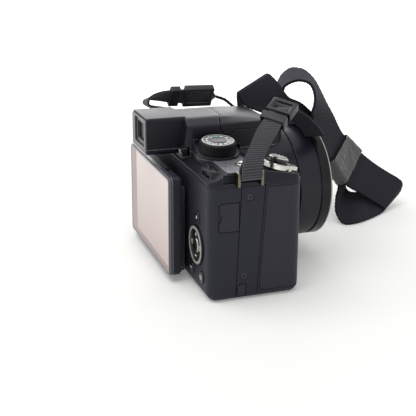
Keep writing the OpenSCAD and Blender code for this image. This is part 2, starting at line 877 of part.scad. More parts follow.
// Front element: a flat back and a domed front inside its seat
dome = 2.6;
module front_element() {
    color(glass_tint)
    let (
        back = zoom_front - 9,
        rim = zoom_front - 6.4,
        radius = (element_r * element_r + dome * dome) / (2 * dome)
    )
    lens_turn() intersection() {
        square([element_r, rim + dome]);
        union() {
            translate([0, back]) square([element_r, rim - back]);
            intersection() {
                translate([0, rim + dome - radius]) circle(radius, $fn = 180);
                translate([0, rim]) square([element_r, dome]);
            }
        }
    }
}
iris_y = zoom_rear + 6.5;
iris_r = inner_r - zoom_wall - 0.2;
module iris_unit() {
    color("#303036")
    lens_turn() polygon([[6, iris_y], [iris_r, iris_y], [iris_r, iris_y + 3], [8, iris_y + 3]]);
}
lens_base_y = [flange_y[0] - 2.2, flange_y[0] - 0.1];
module lens_base() {
    color("#3a3a40")
    lens_turn() polygon([
        [9, lens_base_y[0]], [flange_r - 0.5, lens_base_y[0]], [flange_r - 0.5, lens_base_y[1]],
        [9, lens_base_y[1]]
    ]);
}
module rear_group() {
    color(glass_tint)
    lens_turn() polygon([
        [0, lens_base_y[1] + 4], [9, lens_base_y[1] + 3], [9, lens_base_y[1] + 0.1],
        [14, lens_base_y[1] + 0.1],
        [14, lens_base_y[1] + 11], [9, lens_base_y[1] + 11], [0, lens_base_y[1] + 12.5]
    ]);
}
module sensor_unit() {
    color("#2d3b52")
    box([-15, 15], [lens_base_y[0] - 4, lens_base_y[0] - 0.1], [lens_z - 13, lens_z + 13]);
}

// Boards, battery and card

module main_board() {
    color(board_green)
    box([8 - left_x, grip_in_x - 12], [-rear_y + wall + 2, -rear_y + wall + 3.2], [7, seam_z - 4]);
}
module control_board() {
    color(board_green)
    box([grip_in_x - 7.5, grip_x - 6], [board_y, board_y + 1], [4.5, seam_z - 14]);
}
module battery_box() {
    color("#3b3b42")
    difference() {
        box([bay_x0, bay_x1], [bay_y0, bay_y1], [bay_z0, bay_z1]);
        box(
            [bay_x0 + bay_wall, bay_x0 + bay_wall + battery_x + 2 * gap],
            [bay_y0 + bay_wall, bay_y1 - bay_wall], [0, bay_z1 - bay_wall]
        );
        box(
            [bay_x1 - bay_wall - card_x - 2 * gap, bay_x1 - bay_wall],
            [bay_y0 + bay_wall, bay_y1 - bay_wall], [0, bay_z0 + card_z + 2]
        );
    }
}
module battery() {
    color("#4a4a50")
    translate([bay_x0 + bay_wall + gap, bay_y0 + bay_wall + gap, bay_z0]) cube([
        battery_x, battery_y, battery_z
    ]);
}
module memory_card() {
    color("#20406a")
    translate([bay_x1 - bay_wall - card_x - gap, bay_y0 + bay_wall + gap, bay_z0 + 1])
        along_x(0, card_x) polygon([
            [0, 0], [battery_y, 0], [battery_y, card_z - 4], [battery_y - 4, card_z], [0, card_z]
        ]);
}
module battery_door() {
    color(body_black)
    difference() {
        union() {
            box(hatch_x, [hatch_axis_y, hatch_y1], [0, hatch_t]);
            rod_x(hatch_t, hatch_x, hatch_axis_y, hatch_t);
        }
        rod_x(hatch_pin_r + run, [-far, far], hatch_axis_y, hatch_t);
        for (k = [0:4]) box(
            [hatch_x[0] + 4, hatch_x[1] - 4], [hatch_y1 - 3 - 1.4 * k, hatch_y1 - 2.4 - 1.4 * k],
            [-1, 0.4]
        );
    }
}
module battery_door_pin()
    color(steel) rod_x(hatch_pin_r, [hatch_x[0] - 1.8, hatch_x[1] + 1.8], hatch_axis_y, hatch_t);

// Grip end

module end_flap(y, z, t) along_x(grip_x - t, grip_x) polygon(end_outline(y, z, 0));
module connector_door() {
    color(rubber_black)
    difference() {
        end_flap(door_y, door_z, door_t);
        rod_x(3.4, [grip_x - 0.6, grip_x + 1], door_y[0] - 2, (door_z[0] + door_z[1]) / 2);
    }
}
module dc_flap() {
    color(rubber_black)
    intersection() {
        end_flap(flap_y, flap_z, door_t);
        body_form(0, seam_z);
    }
}
socket_x = grip_x - 7.1;
socket_h = 4.4;
socket_rows = [39, 45];
function socket_y(g) = [-13.2 - g, -6.6 + g];
module connector_sockets() {
    color(steel)
    difference() {
        union() {
            box([socket_x - 1, socket_x], [-14, -5.6], [37.4, 50.8]);
            for (z = socket_rows) box(
                [socket_x - 0.1, grip_x - wall + 0.4], socket_y(0), [z, z + socket_h]
            );
        }
        for (z = socket_rows) box([socket_x + 1, grip_x], [-12.6, -7.2], [z + 0.6, z + socket_h - 0.6]);
    }
}

// Rear controls

module rear_button(at, r, out) {
    translate([at[0], -rear_y, at[1]]) rotate([90, 0, 0])
        rotate_extrude() polygon([
            [0, press + 0.35 - wall - 0.8], [r, press + 0.35 - wall - 0.8], [r, out - 0.3],
            [r - 0.3, out], [0, out + 0.1]
        ]);
}
module selector_pad() {
    color(satin_black)
    translate([selector_x, -rear_y, selector_z]) rotate([90, 0, 0])
        rotate_extrude() polygon([
            [confirm_r + 0.4, 1 - wall - 0.8], [selector_r, 1 - wall - 0.8], [selector_r, 0.8],
            [selector_r - 0.5, 1.2],
            [selector_r - 1.6, 1.2], [selector_r - 2.2, 0.7], [confirm_r + 0.4, 0.7]
        ]);
}
module confirm_button() color(chrome) rear_button([selector_x, selector_z], confirm_r, 1.1);
module play_button() color(satin_black) rear_button(play_at, button_r, 0.7);
module menu_button() color(satin_black) rear_button(menu_at, button_r, 0.7);
module delete_button() color(satin_black) rear_button(delete_at, button_r, 0.7);
monitor_size = [6.4, 4.4];
module monitor_place(g, y)
    plate_y(
        [monitor_x - monitor_size[0] / 2 - g, monitor_x + monitor_size[0] / 2 + g], y,
        [monitor_z - monitor_size[1] / 2 - g, monitor_z + monitor_size[1] / 2 + g], 0.8
    );
module monitor_pocket() monitor_place(gap, [-far, hump_rear + 3.6]);
module monitor_button() color(satin_black) monitor_place(0, [hump_rear - 0.9, hump_rear + 2.4]);

// Screen

module screen_bracket() {
    inset = 5;
    color("#1c1c20")
    difference() {
        union() {
            plate_y(
                [screen_left + inset, screen_right - inset], [bracket_back - bracket_t, bracket_back],
                [arm_axis_z, tilt_axis_z - 3.6], 1
            );
            rod_x(knuckle_r, [hinge_x[0] - 9, hinge_x[1] + 9], arm_axis_y, arm_axis_z);
            for (x = hinge_x) {
                rod_x(knuckle_r, [x - ear_w / 2, x + ear_w / 2], tilt_axis_y, tilt_axis_z);
                along_x(x - ear_w / 2, x + ear_w / 2) polygon([
                    [tilt_axis_y - 1.3, tilt_axis_z - 1.3], [bracket_back - bracket_t, tilt_axis_z - 6],
                    [bracket_back, tilt_axis_z - 6],
                    [bracket_back, tilt_axis_z - 4], [tilt_axis_y + 1.3, tilt_axis_z + 1.3]
                ]);
            }
        }
        for (x = hinge_x)
            box(
                [x - ear_w / 2 - gap, x + ear_w / 2 + gap], [-far, far],
                [arm_axis_z - 4, arm_axis_z + knuckle_r + gap]
            );
        rod_x(hinge_pin_r + run, [-far, far], arm_axis_y, arm_axis_z);
        rod_x(hinge_pin_r + run, [-far, far], tilt_axis_y, tilt_axis_z);
    }
}
module bracket_pin()
    color(steel) rod_x(hinge_pin_r, [hinge_x[0] - 8.5, hinge_x[1] + 8.5], arm_axis_y, arm_axis_z);
module screen_outline(i, y)
    plate_y([screen_left + i, screen_right - i], y, [screen_z + i, screen_top - i], max(3 - i, 0.5));
module screen_shell() {
    color(body_black)
    difference() {
        union() {
            screen_outline(0, [screen_front + frame_t, screen_back - 1]);
            screen_outline(1, [screen_back - 1, screen_back]);
        }
        screen_outline(2, [screen_front + frame_t - 1, screen_front + frame_t + 1.4]);
        for (x = hinge_x)
            box(
                [x - ear_w / 2 - gap, x + ear_w / 2 + gap], [tilt_axis_y - knuckle_r - gap, far],
                [tilt_axis_z - 7, far]
            );
        rod_x(hinge_pin_r + 0.01, [hinge_x[0] - 7, hinge_x[1] + 7], tilt_axis_y, tilt_axis_z);
    }
}
module screen_pin()
    color(steel) rod_x(hinge_pin_r, [hinge_x[0] - 6.8, hinge_x[1] + 6.8], tilt_axis_y, tilt_axis_z);
glass_inset = 1.6;
module screen_frame() {
    color("#3a383f")
    difference() {
        union() {
            screen_outline(0.6, [screen_front, screen_front + 0.6]);
            screen_outline(0, [screen_front + 0.6, screen_front + frame_t]);
        }
        screen_outline(glass_inset - 0.05, [screen_front - 1, screen_front + 0.9]);
        screen_outline(4.5, [screen_front, screen_front + 5]);
    }
}
module screen_glass()
    color(glass_tint) screen_outline(glass_inset, [screen_front + 0.1, screen_front + 0.9]);
module screen_panel()
    color("#c9b6b4") screen_outline(4.8, [screen_front + 1, screen_front + frame_t + 1.3]);

// Tripod bush, lugs and screws

module tripod_bush() {
    color(steel)
    difference() {
        rod_z(tripod_flange_r, 0, 0, [0, tripod_depth + 1.2]);
        rod_z(tripod_r, 0, 0, [-1, tripod_depth]);
    }
}
lug_z = [60.4, 67.2];
lug_root_z = [61.4, 65];
lug_root = 3.2;
lug_bar_z = [65.2, 66.8];
lug_bar = 1.3;
lug_mid = -0.9;
lug_half = web_w / 2 + 0.3 + lug_bar;
lug_y = [lug_mid - lug_half, lug_mid + lug_half];
lug_reach = 4.6;
lug_plates = [[lug_y[0], lug_y[0] + lug_bar], [lug_y[1] - lug_bar, lug_y[1]]];
function end_x(s) = s > 0 ? grip_x : -left_x;
// Block at one end of the body, from a depth inside the end face to a reach outside it
module end_box(s, depth, reach, y, z) {
    x = end_x(s);
    box([min(x - s * depth, x + s * reach), max(x - s * depth, x + s * reach)], y, z);
}
module lug(s) {
    for (y = lug_plates) {
        end_box(s, -0.1, lug_reach, y, lug_z);
        end_box(s, lug_root, 0.3, y, lug_root_z);
    }
    end_box(s, lug_bar - lug_reach, lug_reach, lug_y, lug_bar_z);
}
// Slots for the plates, and the hollow behind them that runs on towards the rear
recess_depth = 1.2;
recess_run = 6;
module lug_pocket(s) {
    for (y = lug_plates)
        end_box(
            s, lug_root + 0.1, 1, [y[0] - 0.1, y[1] + 0.1], [lug_root_z[0] - 0.1, lug_root_z[1] + 0.1]
        );
    end_box(s, recess_depth, 1, [lug_y[0] - recess_run, lug_y[1] + 0.3], [lug_z[0] + 0.5, deck_z - 1]);
}
module strap_lugs() color(steel) for (s = [-1, 1]) lug(s);

screw_r = 1.7;
screw_places = [[1, 0.8, 53.4], [1, -1.6, 12.8], [-1, 0.8, 53.4], [-1, -1.6, 12.8]];
module screw_cut(s)
    rod_x(screw_r + 0.1, s[0] > 0 ? [grip_x - 1, grip_x + 1] : [-left_x - 1, -left_x + 1], s[1], s[2]);
module case_screws() {
    color("#17171a")
    for (s = screw_places) {
        x = end_x(s[0]);
        difference() {
            rod_x(screw_r, s[0] > 0 ? [x - 0.95, x - 0.2] : [x + 0.2, x + 0.95], s[1], s[2]);
            for (a = [0, 90])
                translate([x - s[0] * 0.2, s[1], s[2]]) rotate([a, 0, 0]) cube(
                    [0.8, 2, 0.45], center = true
                );
        }
    }
}

// Strap: the neck band by its two edges, from the left webbing round the bundle to the right webbing
band_drawn = 30;
BAND = [
    [[-45.5, 21.5, 81], [-54, 24.5, 79.5]], [[-44, 27, 79], [-56.5, 31, 76.5]],
    [[-37, 33, 73], [-60, 42, 70]], [[-33, 31, 78], [-54, 49, 81]],
    [[-28, 28.5, 84], [-45, 51.5, 89.5]], [[-24.5, 27.5, 87], [-39.5, 52, 94]],
    [[-24, 29, 83], [-35.5, 56, 90]], [[-24, 33, 78.5], [-34, 60.5, 84]],
    [[-24.5, 42.5, 74.5], [-40.5, 68, 78]], [[-26, 53, 67.5], [-43, 77, 73.5]],
    [[-29, 64.5, 58], [-47, 87.5, 65]], [[-33, 78, 47.5], [-51, 101, 54]],
    [[-35, 90.5, 37], [-55, 110.5, 46]], [[-35, 100.5, 22], [-52.5, 120, 36]],
    [[-32, 98, 13.5], [-51, 118.5, 26]], [[-25.5, 95, 6.5], [-48, 112.5, 18]],
    [[-19, 97, 1.2], [-42.5, 112.5, 13]], [[-18, 106, 1], [-41, 122.5, 11.5]],
    [[-22.5, 117, 0.9], [-44, 137.5, 6.5]], [[-28.5, 127.5, 0.9], [-47, 151, 5.5]],
    [[-31.5, 132.5, 2.6], [-48, 155.5, 12.5]], [[-32, 129, 5.8], [-48.5, 151.5, 17]],
    [[-32, 124, 9], [-48.5, 146.5, 20]], [[-32, 113.5, 16], [-49.5, 135, 27.5]],
    [[-32, 103.5, 23], [-49.5, 123, 37]], [[-32, 92.5, 39], [-52.5, 112.5, 48]],
    [[-32, 82, 57.5], [-49.5, 106.5, 55]], [[-32, 79, 69], [-49.5, 102.5, 62.5]],
    [[-32.5, 80.5, 75], [-55, 100, 70]], [[-33.5, 81, 80.5], [-58.5, 97.5, 77]],
    [[-35, 79.5, 86], [-61.5, 94, 84.5]], [[-37, 76.5, 88.5], [-64.5, 89, 90]],
    [[-39.5, 73, 89], [-67, 84.5, 91.5]], [[-42, 70, 88], [-70, 81, 91]],
    [[-44, 67, 86], [-72, 77, 87.5]], [[-45, 65.5, 84], [-73.5, 75, 83]],
    [[-46, 64.5, 78], [-72, 72, 75]], [[-47, 63, 70], [-65, 69, 67]],
    [[-43.5, 60.5, 63], [-51.5, 64, 61.5]]
];
// Webbing by its centre and the direction across it, from its loose tail round the lug
RIGHT_WEB = [
    [[49.8, 18.6, 89.6], [0.5, 0.86, 0]], [[53.2, 14.6, 87], [0.45, 0.9, 0]],
    [[56.6, 10.2, 83.6], [0.35, 0.94, 0]], [[61.2, 5, 78], [0.15, 0.98, 0]],
    [[65, 0.8, 73], [0, 1, 0]], [[67.1, -0.7, 69.5], [0, 1, 0]], [[67.4, -0.9, 66.6], [0, 1, 0]],
    [[66.8, -0.9, 64.6], [0, 1, 0]], [[65.4, -0.9, 63.9], [0, 1, 0]],
    [[63.9, -0.9, 64.6], [0, 1, 0]], [[63.2, -0.9, 66.6], [0, 1, 0]], [[62.6, 0, 70], [0, 1, 0]],
    [[58.4, 5.4, 76], [0.15, 0.98, 0]], [[54, 11.2, 81.8], [0.35, 0.94, 0]],
    [[49.4, 17, 86.9], [0.5, 0.86, 0]], [[44.8, 23.9, 92], [0.5, 0.86, 0]],
    [[38, 36, 86], [0.5, 0.86, 0]], [[30, 48, 76], [0.45, 0.9, 0]],
    [[21, 54, 70.5], [0.2, 0.98, 0]], [[10, 55, 73.4], [0, 1, 0]], [[0, 55, 74.4], [0, 1, 0]],
    [[-12, 53, 72.4], [0, 1, 0]], [[-22, 49, 67.2], [0, 1, 0]], [[-29, 50.5, 60.8], [0.1, 1, 0]],
    [[-33.5, 53.5, 55], [0.1, 1, 0.1]], [[-38, 57, 51.5], [0.05, 0.95, 0.3]],
    [[-43, 59.5, 52.5], [-0.25, 0.85, 0.45]], [[-46.5, 61.5, 57], [-0.7, 0.65, 0.2]],
    [[-47.5, 62.2, 61.5], [-0.9, 0.4, -0.15]]
];
LEFT_WEB = [
    [[-58.4, -1.3, 71], [0, 1, 0]], [[-58.9, -0.9, 66.6], [0, 1, 0]],
    [[-58.3, -0.9, 64.6], [0, 1, 0]], [[-56.9, -0.9, 63.9], [0, 1, 0]],
    [[-55.4, -0.9, 64.6], [0, 1, 0]], [[-54.7, -0.9, 66.6], [0, 1, 0]],
    [[-54.4, -2, 69.5], [0.1, 1, 0]], [[-54, -7, 73], [0.5, 0.85, 0.1]],
    [[-53, -14, 75.5], [0.85, 0.5, 0.1]], [[-52, -20, 78], [1, 0.1, 0.05]],
    [[-51, -19, 81.5], [1, 0, 0.3]], [[-50.2, -13, 82.6], [0.8, 0, 0.6]],
    [[-50, -3.4, 82], [0.55, 0, 0.84]], [[-50, 4, 81.7], [0.5, 0, 0.87]],
    [[-50, 12, 81.5], [0.5, 0, 0.87]], [[-50, 19, 81], [0.65, -0.15, 0.7]],
    [[-50, 22.8, 80.3], [0.93, -0.33, 0.16]]
];
spline_steps = 2;
function spline(a, b, c, d, t) =
    (2 * b + (c - a) * t + (2 * a - 5 * b + 4 * c - d) * t * t + (3 * b - a - 3 * c + d) * t * t * t) / 2;
function smoothed(e) =
    let (n = len(e))
    concat(
        [for (i = [0:n - 2], s = [0:spline_steps - 1]) [for (k = [0, 1])
            spline(e[max(i - 1, 0)][k], e[i][k], e[i + 1][k], e[min(i + 2, n - 1)][k], s / spline_steps)]],
        [e[n - 1]]
    );
function web_edges(web) = [for (p = web) let (d = unit(p[1]) * web_w / 2) [p[0] - d, p[0] + d]];
function scaled_edges(e, k) = [for (p = e)
    let (m = (p[0] + p[1]) / 2, d = (p[1] - p[0]) / 2 * k)
    [m - d, m + d]];
function middle(p) = (p[0] + p[1]) / 2;
module ribbon(e, t) {
    n = len(e);
    points = [for (i = [0:n - 1])
        let (
            run_dir = middle(e[min(i + 1, n - 1)]) - middle(e[max(i - 1, 0)]),
            up = unit(cross(run_dir, e[i][1] - e[i][0])) * t / 2
        )
        each [e[i][0] - up, e[i][1] - up, e[i][1] + up, e[i][0] + up]];
    sides = [for (i = [0:n - 2], k = [0:3])
        let (a = 4 * i + k, b = 4 * i + (k + 1) % 4)
        each [[a, a + 4, b + 4], [a, b + 4, b]]];
    last = 4 * (n - 1);
    polyhedron(
        points,
        concat([[0, 1, 2], [0, 2, 3]], sides, [[last + 2, last + 1, last], [last + 3, last + 2, last]])
    );
}
// Straight block along a strap: its length, then its size across and through the webbing
module strap_block(at, along, across, length, size) {
    u = unit(along);
    v = unit(across - (across * u) * u) * size[0] / 2;
    ribbon([for (s = [-1, 1]) [at + u * s * length / 2 - v, at + u * s * length / 2 + v]], size[1]);
}
module strap_loop(at, along, across, length, inner, rim) {
    difference() {
        strap_block(at, along, across, length, [inner[0] + 2 * rim, inner[1] + 2 * rim]);
        strap_block(at, along, across, length + 2, inner);
    }
}
module strap_band() color(strap_grey) ribbon(smoothed(scaled_edges(BAND, band_w / band_drawn)), band_t);
module strap_webbing() {
    color(strap_grey) {
        ribbon(smoothed(web_edges(RIGHT_WEB)), web_t);
        ribbon(smoothed(web_edges(LEFT_WEB)), web_t);
    }
}
strap_grey = "#34343a";
buckle_w = web_w + 1;
// Sliders and keepers: middle, direction along, direction across, length, inner height, rim
BUCKLES = [
    [[44.8, 23.9, 92], [-0.5, 0.7, 0.45], [0.5, 0.86, 0], 9, 2.2, 1.2],
    [[50.2, 17, 87.8], [-0.5, 0.66, 0.5], [0.5, 0.86, 0], 4.5, 4.2, 1],
    [[-50, 11.4, 81.5], [0, 1, -0.03], [0.5, 0, 0.87], 18, 2.2, 1.2],
    [[-50, -3.4, 82], [0, 1, -0.04], [0.55, 0, 0.84], 6, 2.2, 1]
];
module strap_buckles() {
    color("#202024")
    for (b = BUCKLES) strap_loop(b[0], b[1], b[2], b[3], [buckle_w, b[4]], b[5]);
}
// Grey tape round both layers of the bundle, midway between them
SLEEVE = [[[-33.5, 102, 23], [-51, 121.5, 37]], [[-33.5, 92, 38], [-53.5, 111.5, 47]]];
module strap_sleeve() {
    k = band_w / band_drawn;
    color("#5c5c5c")
    difference() {
        ribbon(scaled_edges(SLEEVE, 1.12 * k), 9.4);
        ribbon(
            [for (s = [-0.2, 1.2]) [for (c = [0, 1])
                let (e = scaled_edges(SLEEVE, 1.06 * k))
                e[0][c] + (e[1][c] - e[0][c]) * s]],
            8
        );
    }
}

rear_cover();
mid_frame();
front_cover();
top_cover();
grip_rubber();
evf_housing();
eyepiece_frame();
eyepiece_lens();
evf_display();
diopter_dial();
flash_head();
flash_window();
flash_tube();
flash_pin();
mode_dial();
mode_dial_cap();
command_dial();
power_button();
shutter_button();
zoom_lever();
lens_shroud();
lens_ring();
front_ring();
zoom_barrel_outer();
zoom_barrel_inner();
front_element();
iris_unit();
lens_base();
rear_group();
sensor_unit();
main_board();
control_board();
battery_box();
battery();
memory_card();
battery_door();
battery_door_pin();
connector_door();
connector_sockets();
dc_flap();
selector_pad();
confirm_button();
play_button();
menu_button();
delete_button();
monitor_button();
screen_bracket();
bracket_pin();
screen_shell();
screen_frame();
screen_glass();
screen_panel();
screen_pin();
tripod_bush();
strap_lugs();
case_screws();
strap_band();
strap_webbing();
strap_buckles();
strap_sleeve();
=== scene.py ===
"""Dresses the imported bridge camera: finishes, printed marks, neck strap, floor, light and viewpoint."""
import logging
import math
from dataclasses import dataclass, replace
from enum import Enum
from functools import cache
from typing import Callable, Union

import bpy
from mathutils import Matrix, Vector, noise


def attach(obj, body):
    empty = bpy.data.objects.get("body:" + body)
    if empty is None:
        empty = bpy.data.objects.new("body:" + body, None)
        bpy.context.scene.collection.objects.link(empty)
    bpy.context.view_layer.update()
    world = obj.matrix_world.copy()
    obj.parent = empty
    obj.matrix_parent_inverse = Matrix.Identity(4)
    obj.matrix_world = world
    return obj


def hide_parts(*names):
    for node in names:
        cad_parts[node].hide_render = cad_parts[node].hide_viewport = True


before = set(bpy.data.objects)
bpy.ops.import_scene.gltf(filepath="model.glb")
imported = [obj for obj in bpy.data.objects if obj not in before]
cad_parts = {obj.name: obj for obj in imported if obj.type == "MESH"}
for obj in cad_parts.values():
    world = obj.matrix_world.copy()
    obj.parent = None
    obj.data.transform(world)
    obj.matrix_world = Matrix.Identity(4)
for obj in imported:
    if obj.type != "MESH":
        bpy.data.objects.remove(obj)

LOG = logging.getLogger("bridge_camera")
MM = 0.001
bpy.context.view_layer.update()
# Widest angles that are shaded as one curve, on hard pieces and on cloth.
HARD_CURVE = math.radians(35)
CLOTH_CURVE = math.radians(40)
# Points that lie nearer than this, in metres, are merged.
MERGE = 1e-6
# A face looks along an axis when more than this share of its normal lies on it.
ALONG = 0.9
BACK, FRONT, UP = Vector((0, -1, 0)), Vector((0, 1, 0)), Vector((0, 0, 1))

Piece = bpy.types.Object
Tree = bpy.types.NodeTree
Socket = bpy.types.NodeSocket
Setting = Union[float, tuple, Socket, bpy.types.Node]
FaceTest = Callable[[bpy.types.MeshPolygon], bool]
Point = tuple[float, float, float]
Section = tuple[tuple[float, float], ...]


def linear(colour: str) -> tuple[float, float, float, float]:
    """Turn an sRGB hex colour into linear red, green, blue and alpha.

    Args:
        colour: Six hex digits after a hash sign.

    Returns:
        The linear colour, fully opaque.
    """
    parts = [int(colour[k:k + 2], 16) / 255 for k in (1, 3, 5)]
    red, green, blue = (p / 12.92 if p <= 0.04045 else ((p + 0.055) / 1.055) ** 2.4 for p in parts)
    return red, green, blue, 1.0


def add_node(
    tree: Tree, kind: str, inputs: dict[Union[str, int], Setting], **settings: object
) -> bpy.types.Node:
    """Add one shader node with its settings and links.

    A Map Range takes its value at 0, what it comes from at 1 and 2, and what it goes to at 3 and 4. A Mix
    of colours takes its share at 0 and the colours at 6 and 7, and gives its result at 2.

    Args:
        tree: Node tree that takes the node.
        kind: Blender's name for the node's type, after the word ShaderNode.
        inputs: For each input, by name or place, a value, a socket to link, or a node to link by its first.
        **settings: The node's own properties.

    Returns:
        The new node.
    """
    node = tree.nodes.new(f"ShaderNode{kind}")
    for name, value in settings.items():
        setattr(node, name, value)
    for name, value in inputs.items():
        source = value.outputs[0] if isinstance(value, bpy.types.Node) else value
        if isinstance(source, Socket):
            tree.links.new(source, node.inputs[name])
        else:
            node.inputs[name].default_value = source
    return node


def empty_tree(owner: Union[bpy.types.Material, bpy.types.World]) -> Tree:
    """Give a material or a world an empty node tree.

    Args:
        owner: The material or the world.

    Returns:
        Its node tree.
    """
    owner.use_nodes = True
    owner.node_tree.nodes.clear()
    return owner.node_tree


def wave_scale(period_mm: float) -> float:
    """Give the Wave Texture's scale for a period in millimetres on coordinates in metres."""
    return math.tau / 20 / (period_mm * MM)


def noise_scale(size_mm: float) -> float:
    """Give the Noise Texture's scale for features of a size in millimetres."""
    return 1 / (size_mm * MM)


@dataclass(frozen=True)
class Finish:
    """What every finish has: a name, two close colours, gloss, fine grain and softened edges."""

    name: str
    colour: str
    second: str
    roughness: float = 0.5
    spread: float = 0.06
    cloud_mm: float = 9.0
    grain_mm: float = 0.4
    grain_depth_mm: float = 0.02
    grain_strength: float = 0.25
    edge_mm: float = 0.25
    # Colour painted on the outer edges: a pale one is rubbing and a painted highlight, a dark one is the
    # painted shade of a joint.
    wear_and_edge_shading: str = ""
    wear_and_edge_shading_mm: float = 0.55
    wear_and_edge_shading_range: tuple[float, float] = (0.9, 0.5)
    wear_and_edge_shading_most: float = 0.9
    specular: float = 0.5
    metallic: float = 0.0
    coat: tuple[float, float] = (0.0, 0.03)
    values: tuple[tuple[str, float], ...] = ()

    def coords(self, tree: Tree) -> Socket:
        """Give the coordinates that the patterns lie in, in metres."""
        return add_node(tree, "TexCoord", {}).outputs["Object"]

    def height(self, tree: Tree, place: Socket) -> Socket:
        """Draw the relief of the surface from 0 to 1, here its fine grain."""
        scale = noise_scale(self.grain_mm)
        return add_node(tree, "TexNoise", {"Vector": place, "Scale": scale, "Detail": 2.0}).outputs[0]

    def tint(self, tree: Tree, place: Socket) -> Socket:
        """Draw the colour of the surface, here the two colours in soft clouds.

        Args:
            tree: Node tree of the material.
            place: Coordinates in metres.

        Returns:
            The colour.
        """
        scale = noise_scale(self.cloud_mm)
        cloud = add_node(tree, "TexNoise", {"Vector": place, "Scale": scale, "Detail": 4.0})
        colours = {6: linear(self.colour), 7: linear(self.second)}
        return add_node(tree, "Mix", {0: cloud, **colours}, data_type="RGBA").outputs[2]

    def paint_edge_wear_and_shading(self, tree: Tree, colour: Socket) -> Socket:
        """Paint the outer edges: a pale edge colour is rubbing and a painted highlight, a dark one is the
        painted shade of a joint.

        Args:
            tree: Node tree of the material.
            colour: Colour of the surface.

        Returns:
            The colour with its painted edges, or as it was where the finish has no edge colour.
        """
        if not self.wear_and_edge_shading:
            return colour
        reach = {"Distance": self.wear_and_edge_shading_mm * MM}
        inside = add_node(tree, "AmbientOcclusion", reach, samples=8, inside=True, only_local=True)
        start, full = self.wear_and_edge_shading_range
        edge = add_node(
            tree, "MapRange", {0: inside.outputs["AO"], 1: start, 2: full, 3: 0.0, 4: self.wear_and_edge_shading_most}
        )
        mix = add_node(tree, "Mix", {0: edge, 6: colour, 7: linear(self.wear_and_edge_shading)}, data_type="RGBA")
        return mix.outputs[2]

    def make(self) -> bpy.types.Material:
        """Build the material.

        Returns:
            The finished material.
        """
        material = bpy.data.materials.new(self.name)
        tree = empty_tree(material)
        place = self.coords(tree)
        relief = self.height(tree, place)
        least, most = self.roughness - self.spread, self.roughness + self.spread
        gloss = add_node(tree, "MapRange", {0: relief, 3: least, 4: most})
        rounded = add_node(tree, "Bevel", {"Radius": self.edge_mm * MM}, samples=4)
        depth = {"Strength": self.grain_strength, "Distance": self.grain_depth_mm * MM}
        bump = add_node(tree, "Bump", {"Height": relief, "Normal": rounded, **depth})
        shader = add_node(
            tree, "BsdfPrincipled",
            {
                "Base Color": self.paint_edge_wear_and_shading(tree, self.tint(tree, place)), "Roughness": gloss, "Normal": bump,
                "Specular IOR Level": self.specular, "Metallic": self.metallic,
                "Coat Weight": self.coat[0], "Coat Roughness": self.coat[1], **dict(self.values),
            },
        )
        add_node(tree, "OutputMaterial", {"Surface": shader})
        return material


@dataclass(frozen=True)
class CentredFinish(Finish):
    """A finish whose pattern lies about a centre."""

    centre_mm: Point = (0.0, 0.0, 0.0)

    def centred(self, tree: Tree, place: Socket) -> Socket:
        """Count coordinates in metres from the pattern's centre."""
        shift = tuple(-c * MM for c in self.centre_mm)
        return add_node(tree, "VectorMath", {0: place, 1: shift}, operation="ADD").outputs[0]


@dataclass(frozen=True)
class TurnedFinish(CentredFinish):
    """A face cut on a lathe: fine rings about a centre in the XY plane."""

    ring_mm: float = 0.45

    def height(self, tree: Tree, place: Socket) -> Socket:
        """Draw the lathe's rings as a relief from 0 to 1."""
        pattern = {"Vector": self.centred(tree, place), "Scale": wave_scale(self.ring_mm)}
        return add_node(tree, "TexWave", pattern, wave_type="RINGS", rings_direction="Z").outputs["Fac"]


@dataclass(frozen=True)
class DeckFinish(Finish):
    """Moulded cover whose flat deck has a coarser grain than its other faces, painted paler in specks as a
    painted sheen from the light above it.
    """

    deck_mm: float = 66.5
    band_mm: tuple[float, float] = (0.1, 0.25)
    sheen_grit_mm: float = 0.65
    grit_and_painted_sheen: tuple[str, str] = ("#4a4a50", "#808086")
    sheen_grit_range: tuple[float, float] = (0.35, 0.65)

    def tint(self, tree: Tree, place: Socket) -> Socket:
        """Draw the deck's coarse grain in pale specks, a painted sheen.

        Args:
            tree: Node tree of the material.
            place: Coordinates in metres.

        Returns:
            The colour.
        """
        level = add_node(tree, "SeparateXYZ", {0: place}).outputs[2]
        above = add_node(tree, "Math", {0: level, 1: self.deck_mm * MM}, operation="SUBTRACT")
        off = add_node(tree, "Math", {0: above}, operation="ABSOLUTE")
        near, far = self.band_mm
        deck = add_node(tree, "MapRange", {0: off, 1: near * MM, 2: far * MM, 3: 1.0, 4: 0.0})
        # Painted sheen: pale specks on the deck stand for the light that its flat top catches from above.
        scale = noise_scale(self.sheen_grit_mm)
        specks = add_node(tree, "TexNoise", {"Vector": place, "Scale": scale, "Detail": 2.0})
        low, high = self.sheen_grit_range
        share = add_node(tree, "MapRange", {0: specks, 1: low, 2: high})
        dark, pale = (linear(colour) for colour in self.grit_and_painted_sheen)
        grit_and_painted_sheen = add_node(tree, "Mix", {0: share, 6: dark, 7: pale}, data_type="RGBA").outputs[2]
        plain = super().tint(tree, place)
        return add_node(tree, "Mix", {0: deck, 6: plain, 7: grit_and_painted_sheen}, data_type="RGBA").outputs[2]


